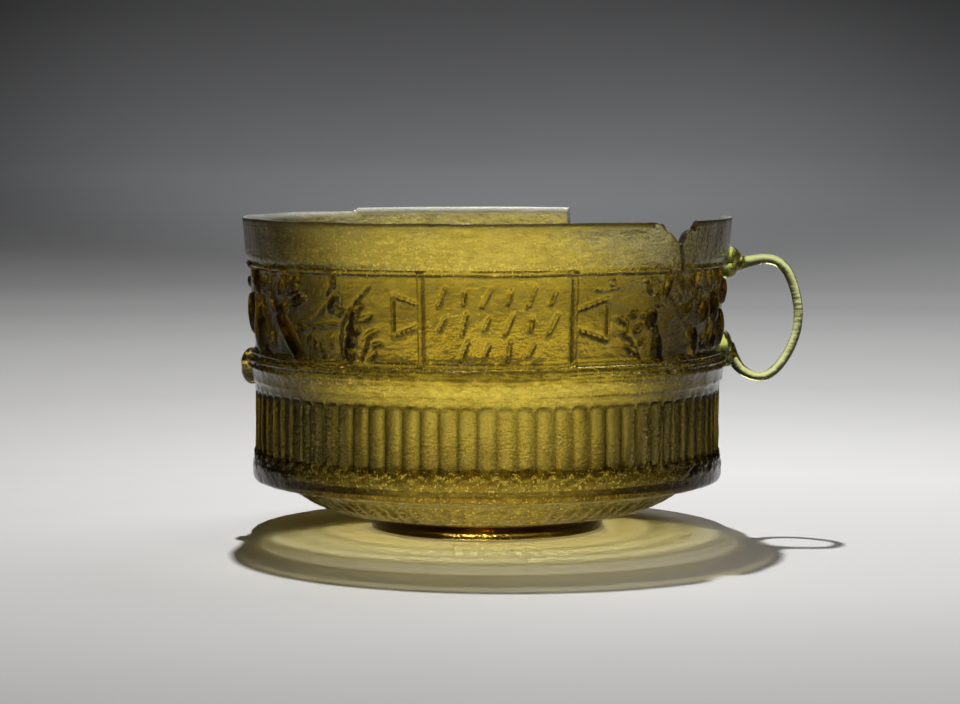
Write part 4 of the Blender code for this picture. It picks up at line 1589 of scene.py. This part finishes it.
@dataclass
class LoopHandle:
    """The loop of drawn glass on the right, with the blob above and the pad below."""

    body: CupBody
    slot: Slot = Slot.HANDLE
    sides: int = 20
    steps: int = 6
    line: tuple[Place, ...] = (
        (46.4, 51.0), (48.4, 51.2), (50.2, 51.4), (52.5, 51.85), (54.6, 51.9), (56.6, 51.2),
        (58.3, 49.4), (59.5, 46.5), (60.2, 43.6), (60.4, 41.0), (60.1, 38.1), (59.3, 35.6),
        (58.1, 33.2), (56.4, 30.9), (54.6, 29.5), (53.1, 29.1), (51.1, 29.5), (49.2, 30.7),
        (47.8, 32.7), (46.6, 35.2),
    )
    radii: tuple[float, ...] = (
        2.1, 1.75, 1.3, 1.08, 1.04, 1.04, 1.02, 0.98, 0.94, 0.92, 0.90, 0.90, 0.92, 0.94, 0.95,
        0.95, 0.98, 1.05, 1.25, 1.5,
    )
    blobs: tuple[tuple[Spot, Spot], ...] = (
        ((46.6, 0.0, 52.3), (2.5, 3.2, 2.3)),
        ((46.5, -0.4, 50.2), (2.2, 2.9, 2.1)),
        ((48.2, 0.3, 51.6), (2.0, 2.0, 1.6)),
        ((45.9, 0.0, 35.2), (1.7, 2.7, 3.0)),
        ((46.6, 0.2, 33.4), (1.6, 1.9, 2.4)),
    )
    cell: float = 0.17
    rounds: int = 8
    clearance: float = 0.03
    tint: Colour = (0.95, 1.0, 0.66)

    def build(self) -> bpy.types.Object:
        """Draw the rod, melt it into its ends and seat it on the wall.

        Returns:
            The linked object.
        """
        shape = bmesh.new()
        self._rod(shape)
        add_blobs(shape, self.blobs)
        bmesh.ops.recalc_face_normals(shape, faces=shape.faces)
        piece = melt("loop_handle", shape, self.cell, self.rounds)
        hug_wall(piece, self.body, self.clearance)
        return piece

    def _rod(self, shape: bmesh.types.BMesh) -> None:
        """Add the rod, a closed tube along the line, to a shape.

        Args:
            shape: the shape, in millimetres.
        """
        path = np.array(smooth_path(list(self.line), self.steps))
        share = np.arange(len(path)) / self.steps
        radii = np.interp(share, np.arange(len(self.radii)), self.radii)
        along = np.gradient(path, axis=0)
        along = along / np.linalg.norm(along, axis=1)[:, None]
        rows = []
        for (radius, height), (slope_r, slope_z), thick in zip(path, along, radii):
            row = []
            for side in range(self.sides):
                turn = 2.0 * math.pi * side / self.sides
                out, aside = thick * math.cos(turn), thick * math.sin(turn)
                spot = (radius + out * slope_z, aside, height - out * slope_r)
                row.append(shape.verts.new(spot))
            rows.append(row)
        for here, there in zip(rows, rows[1:]):
            for side in range(self.sides):
                after = (side + 1) % self.sides
                shape.faces.new((here[side], here[after], there[after], there[side]))
        shape.faces.new(list(reversed(rows[0])))
        shape.faces.new(rows[-1])

    def dress(self, piece: bpy.types.Object) -> None:
        """Give the handle its paler glass and let it stand for its CAD node.

        Args:
            piece: the handle.
        """
        finish = GlassFinish(
            self.slot,
            tints=((0.0, self.tint), (1.0, self.tint)),
            absorbed=(0.90, 0.93, 0.15),
            density=260.0,
            haze=0.05,
            glow=NOWHERE,
            sparks=NOWHERE,
            edge_share=0.35,
            limb_share=0.0,
            passing=NOWHERE,
        )
        settle(piece, "handle", finish)


@dataclass
class HandleStump:
    """What is left of the handle on the left, snapped off near the wall."""

    body: CupBody
    slot: Slot = Slot.STUMP
    blobs: tuple[tuple[Spot, Spot], ...] = (
        ((-45.6, 0.0, 31.2), (2.3, 2.9, 3.6)),
        ((-45.3, 0.3, 32.4), (2.0, 2.4, 2.2)),
    )
    snap_reach: float = 47.9
    snap_ripple: tuple[float, float, float] = (0.16, 900.0, 2.0)
    snap_slope: float = 90.0
    cell: float = 0.17
    rounds: int = 6
    clearance: float = 0.03

    def build(self) -> bpy.types.Object:
        """Melt the lump, snap it off unevenly and seat it on the wall.

        Returns:
            The linked object.
        """
        shape = bmesh.new()
        add_blobs(shape, self.blobs)
        piece = melt("handle_stump_glass", shape, self.cell, self.rounds)
        size, waves, phase = self.snap_ripple
        for corner in piece.data.vertices:
            reach = self.snap_reach + size * math.sin(waves * corner.co.z + phase)
            reach = reach - self.snap_slope * abs(corner.co.y)
            if -corner.co.x / METRES > reach:
                corner.co.x = -reach * METRES
        hug_wall(piece, self.body, self.clearance)
        return piece

    def dress(self, piece: bpy.types.Object) -> None:
        """Give the stump its glass and let it stand for its CAD node.

        Args:
            piece: the stump.
        """
        finish = GlassFinish(
            self.slot,
            haze=0.10,
            glow=NOWHERE,
            sparks=NOWHERE,
            edge_share=0.5,
            limb_share=0.0,
            passing=NOWHERE,
        )
        settle(piece, "handle_stump", finish)


@dataclass(frozen=True)
class SpotLamp:
    """A round lamp with a soft-edged cone, hung in its place and aimed at a target."""

    name: str
    energy: float
    colour: Colour
    radius: float
    cone: float
    place: Spot
    target: Spot

    def hang(self) -> None:
        """Add the lamp to the scene."""
        lamp = bpy.data.lights.new(self.name, "SPOT")
        lamp.energy = self.energy
        lamp.color = self.colour
        lamp.shadow_soft_size = self.radius
        lamp.spot_size = math.radians(self.cone)
        lamp.spot_blend = 1.0
        lamp.cycles.use_multiple_importance_sampling = False
        aim(link(self.name, lamp), self.place, self.target)


def aim(lamp: bpy.types.Object, place: Spot, target: Spot) -> None:
    """Put a lamp in its place, pointing at a target.

    Args:
        lamp: the lamp's object.
        place: where it hangs, in metres.
        target: the spot that it points at, in metres.
    """
    lamp.location = Vector(place)
    away = Vector(target) - Vector(place)
    lamp.rotation_euler = away.to_track_quat("-Z", "Y").to_euler()


@dataclass
class Stage:
    """Round pale floor that curves up into a backdrop, the lights and the camera."""

    profile: tuple[Place, ...] = (
        (0.0, 0.0), (60.0, 0.0), (150.0, 0.0), (400.0, 0.0), (650.0, 0.0), (900.0, 0.0),
        (1100.0, 12.0), (1300.0, 60.0), (1500.0, 160.0), (1680.0, 330.0), (1800.0, 560.0),
        (1860.0, 900.0), (1880.0, 1400.0), (1880.0, 2600.0),
    )
    sides: int = 96
    drop: float = 0.03
    lamps: tuple[SpotLamp, ...] = (
        SpotLamp(
            "key_lamp", 50.0, (1.0, 0.985, 0.96), 0.016, 124.0,
            (-0.058, 0.587, 1.010), (0.07, 0.06, 0.0),
        ),
        SpotLamp(
            "paper_lamp", 20.0, (0.98, 0.99, 1.0), 0.05, 36.0,
            (-0.02, 0.75, 1.20), (-0.03, 1.40, 0.08),
        ),
    )
    soft_size: float = 0.6
    soft_energy: float = 2.7
    soft_colour: Colour = (0.97, 0.985, 1.0)
    soft_place: Spot = (0.40, 0.70, 0.70)
    room_colour: Colour = (0.90, 0.93, 1.0)
    room_strength: float = 0.06
    camera_place: Spot = (0.0, -583.2, 77.4)
    pitch: float = 4.27
    yaw: float = 0.134
    lens: float = 112.87
    sensor: float = 36.0
    clip: Place = (0.01, 20.0)

    def build(self) -> None:
        """Build the floor, the lights and the camera."""
        self._board()
        for lamp in self.lamps:
            lamp.hang()
        self._soft_box()
        self._room()
        self._camera()

    def _board(self) -> None:
        """Turn the floor and backdrop."""
        shape = bmesh.new()
        corners = [
            shape.verts.new((radius * METRES, 0.0, (height - self.drop) * METRES))
            for radius, height in self.profile
        ]
        edges = [shape.edges.new(pair) for pair in zip(corners, corners[1:])]
        bmesh.ops.spin(
            shape,
            geom=corners + edges,
            axis=(0.0, 0.0, 1.0),
            cent=(0.0, 0.0, 0.0),
            steps=self.sides,
            angle=2.0 * math.pi,
        )
        bmesh.ops.remove_doubles(shape, verts=shape.verts, dist=1e-6)
        bmesh.ops.recalc_face_normals(shape, faces=shape.faces)
        mesh = bpy.data.meshes.new("stage_floor")
        shape.to_mesh(mesh)
        shape.free()
        mesh.shade_smooth()
        mesh.materials.append(StageFinish().material())
        link("stage_floor", mesh)

    def _soft_box(self) -> None:
        """Hang the wide soft lamp overhead, pointing straight down."""
        soft = bpy.data.lights.new("soft_box", "AREA")
        soft.shape = "DISK"
        soft.size = self.soft_size
        soft.energy = self.soft_energy
        soft.color = self.soft_colour
        across, forward, _ = self.soft_place
        aim(link("soft_box", soft), self.soft_place, (across, forward, 0.0))

    def _room(self) -> None:
        """Surround the stage with a dim room."""
        room = bpy.data.worlds.new("room")
        room.use_nodes = True
        back = room.node_tree.nodes["Background"]
        back.inputs["Color"].default_value = (*self.room_colour, 1.0)
        back.inputs["Strength"].default_value = self.room_strength
        bpy.context.scene.world = room

    def _camera(self) -> None:
        """Set up the camera at the photo's viewing angle."""
        data = bpy.data.cameras.new("camera")
        data.sensor_width = self.sensor
        data.lens = self.lens
        data.clip_start, data.clip_end = self.clip
        camera = link("camera", data)
        camera.location = Vector(self.camera_place) * METRES
        turn = (90.0 - self.pitch, 0.0, self.yaw)
        camera.rotation_euler = tuple(math.radians(angle) for angle in turn)
        bpy.context.scene.camera = camera


def main() -> None:
    """Build the stage, the cup and its applied glass."""
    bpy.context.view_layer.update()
    bpy.context.scene.view_settings.view_transform = "Standard"
    Stage().build()
    body = CupBody()
    for maker in (body, LoopHandle(body), HandleStump(body)):
        piece = maker.build()
        maker.dress(piece)
        log.info("%s: %d faces", piece.name, len(piece.data.polygons))


if __name__ == "__main__":
    logging.basicConfig(level=logging.INFO, format="%(name)s: %(message)s")
    main()
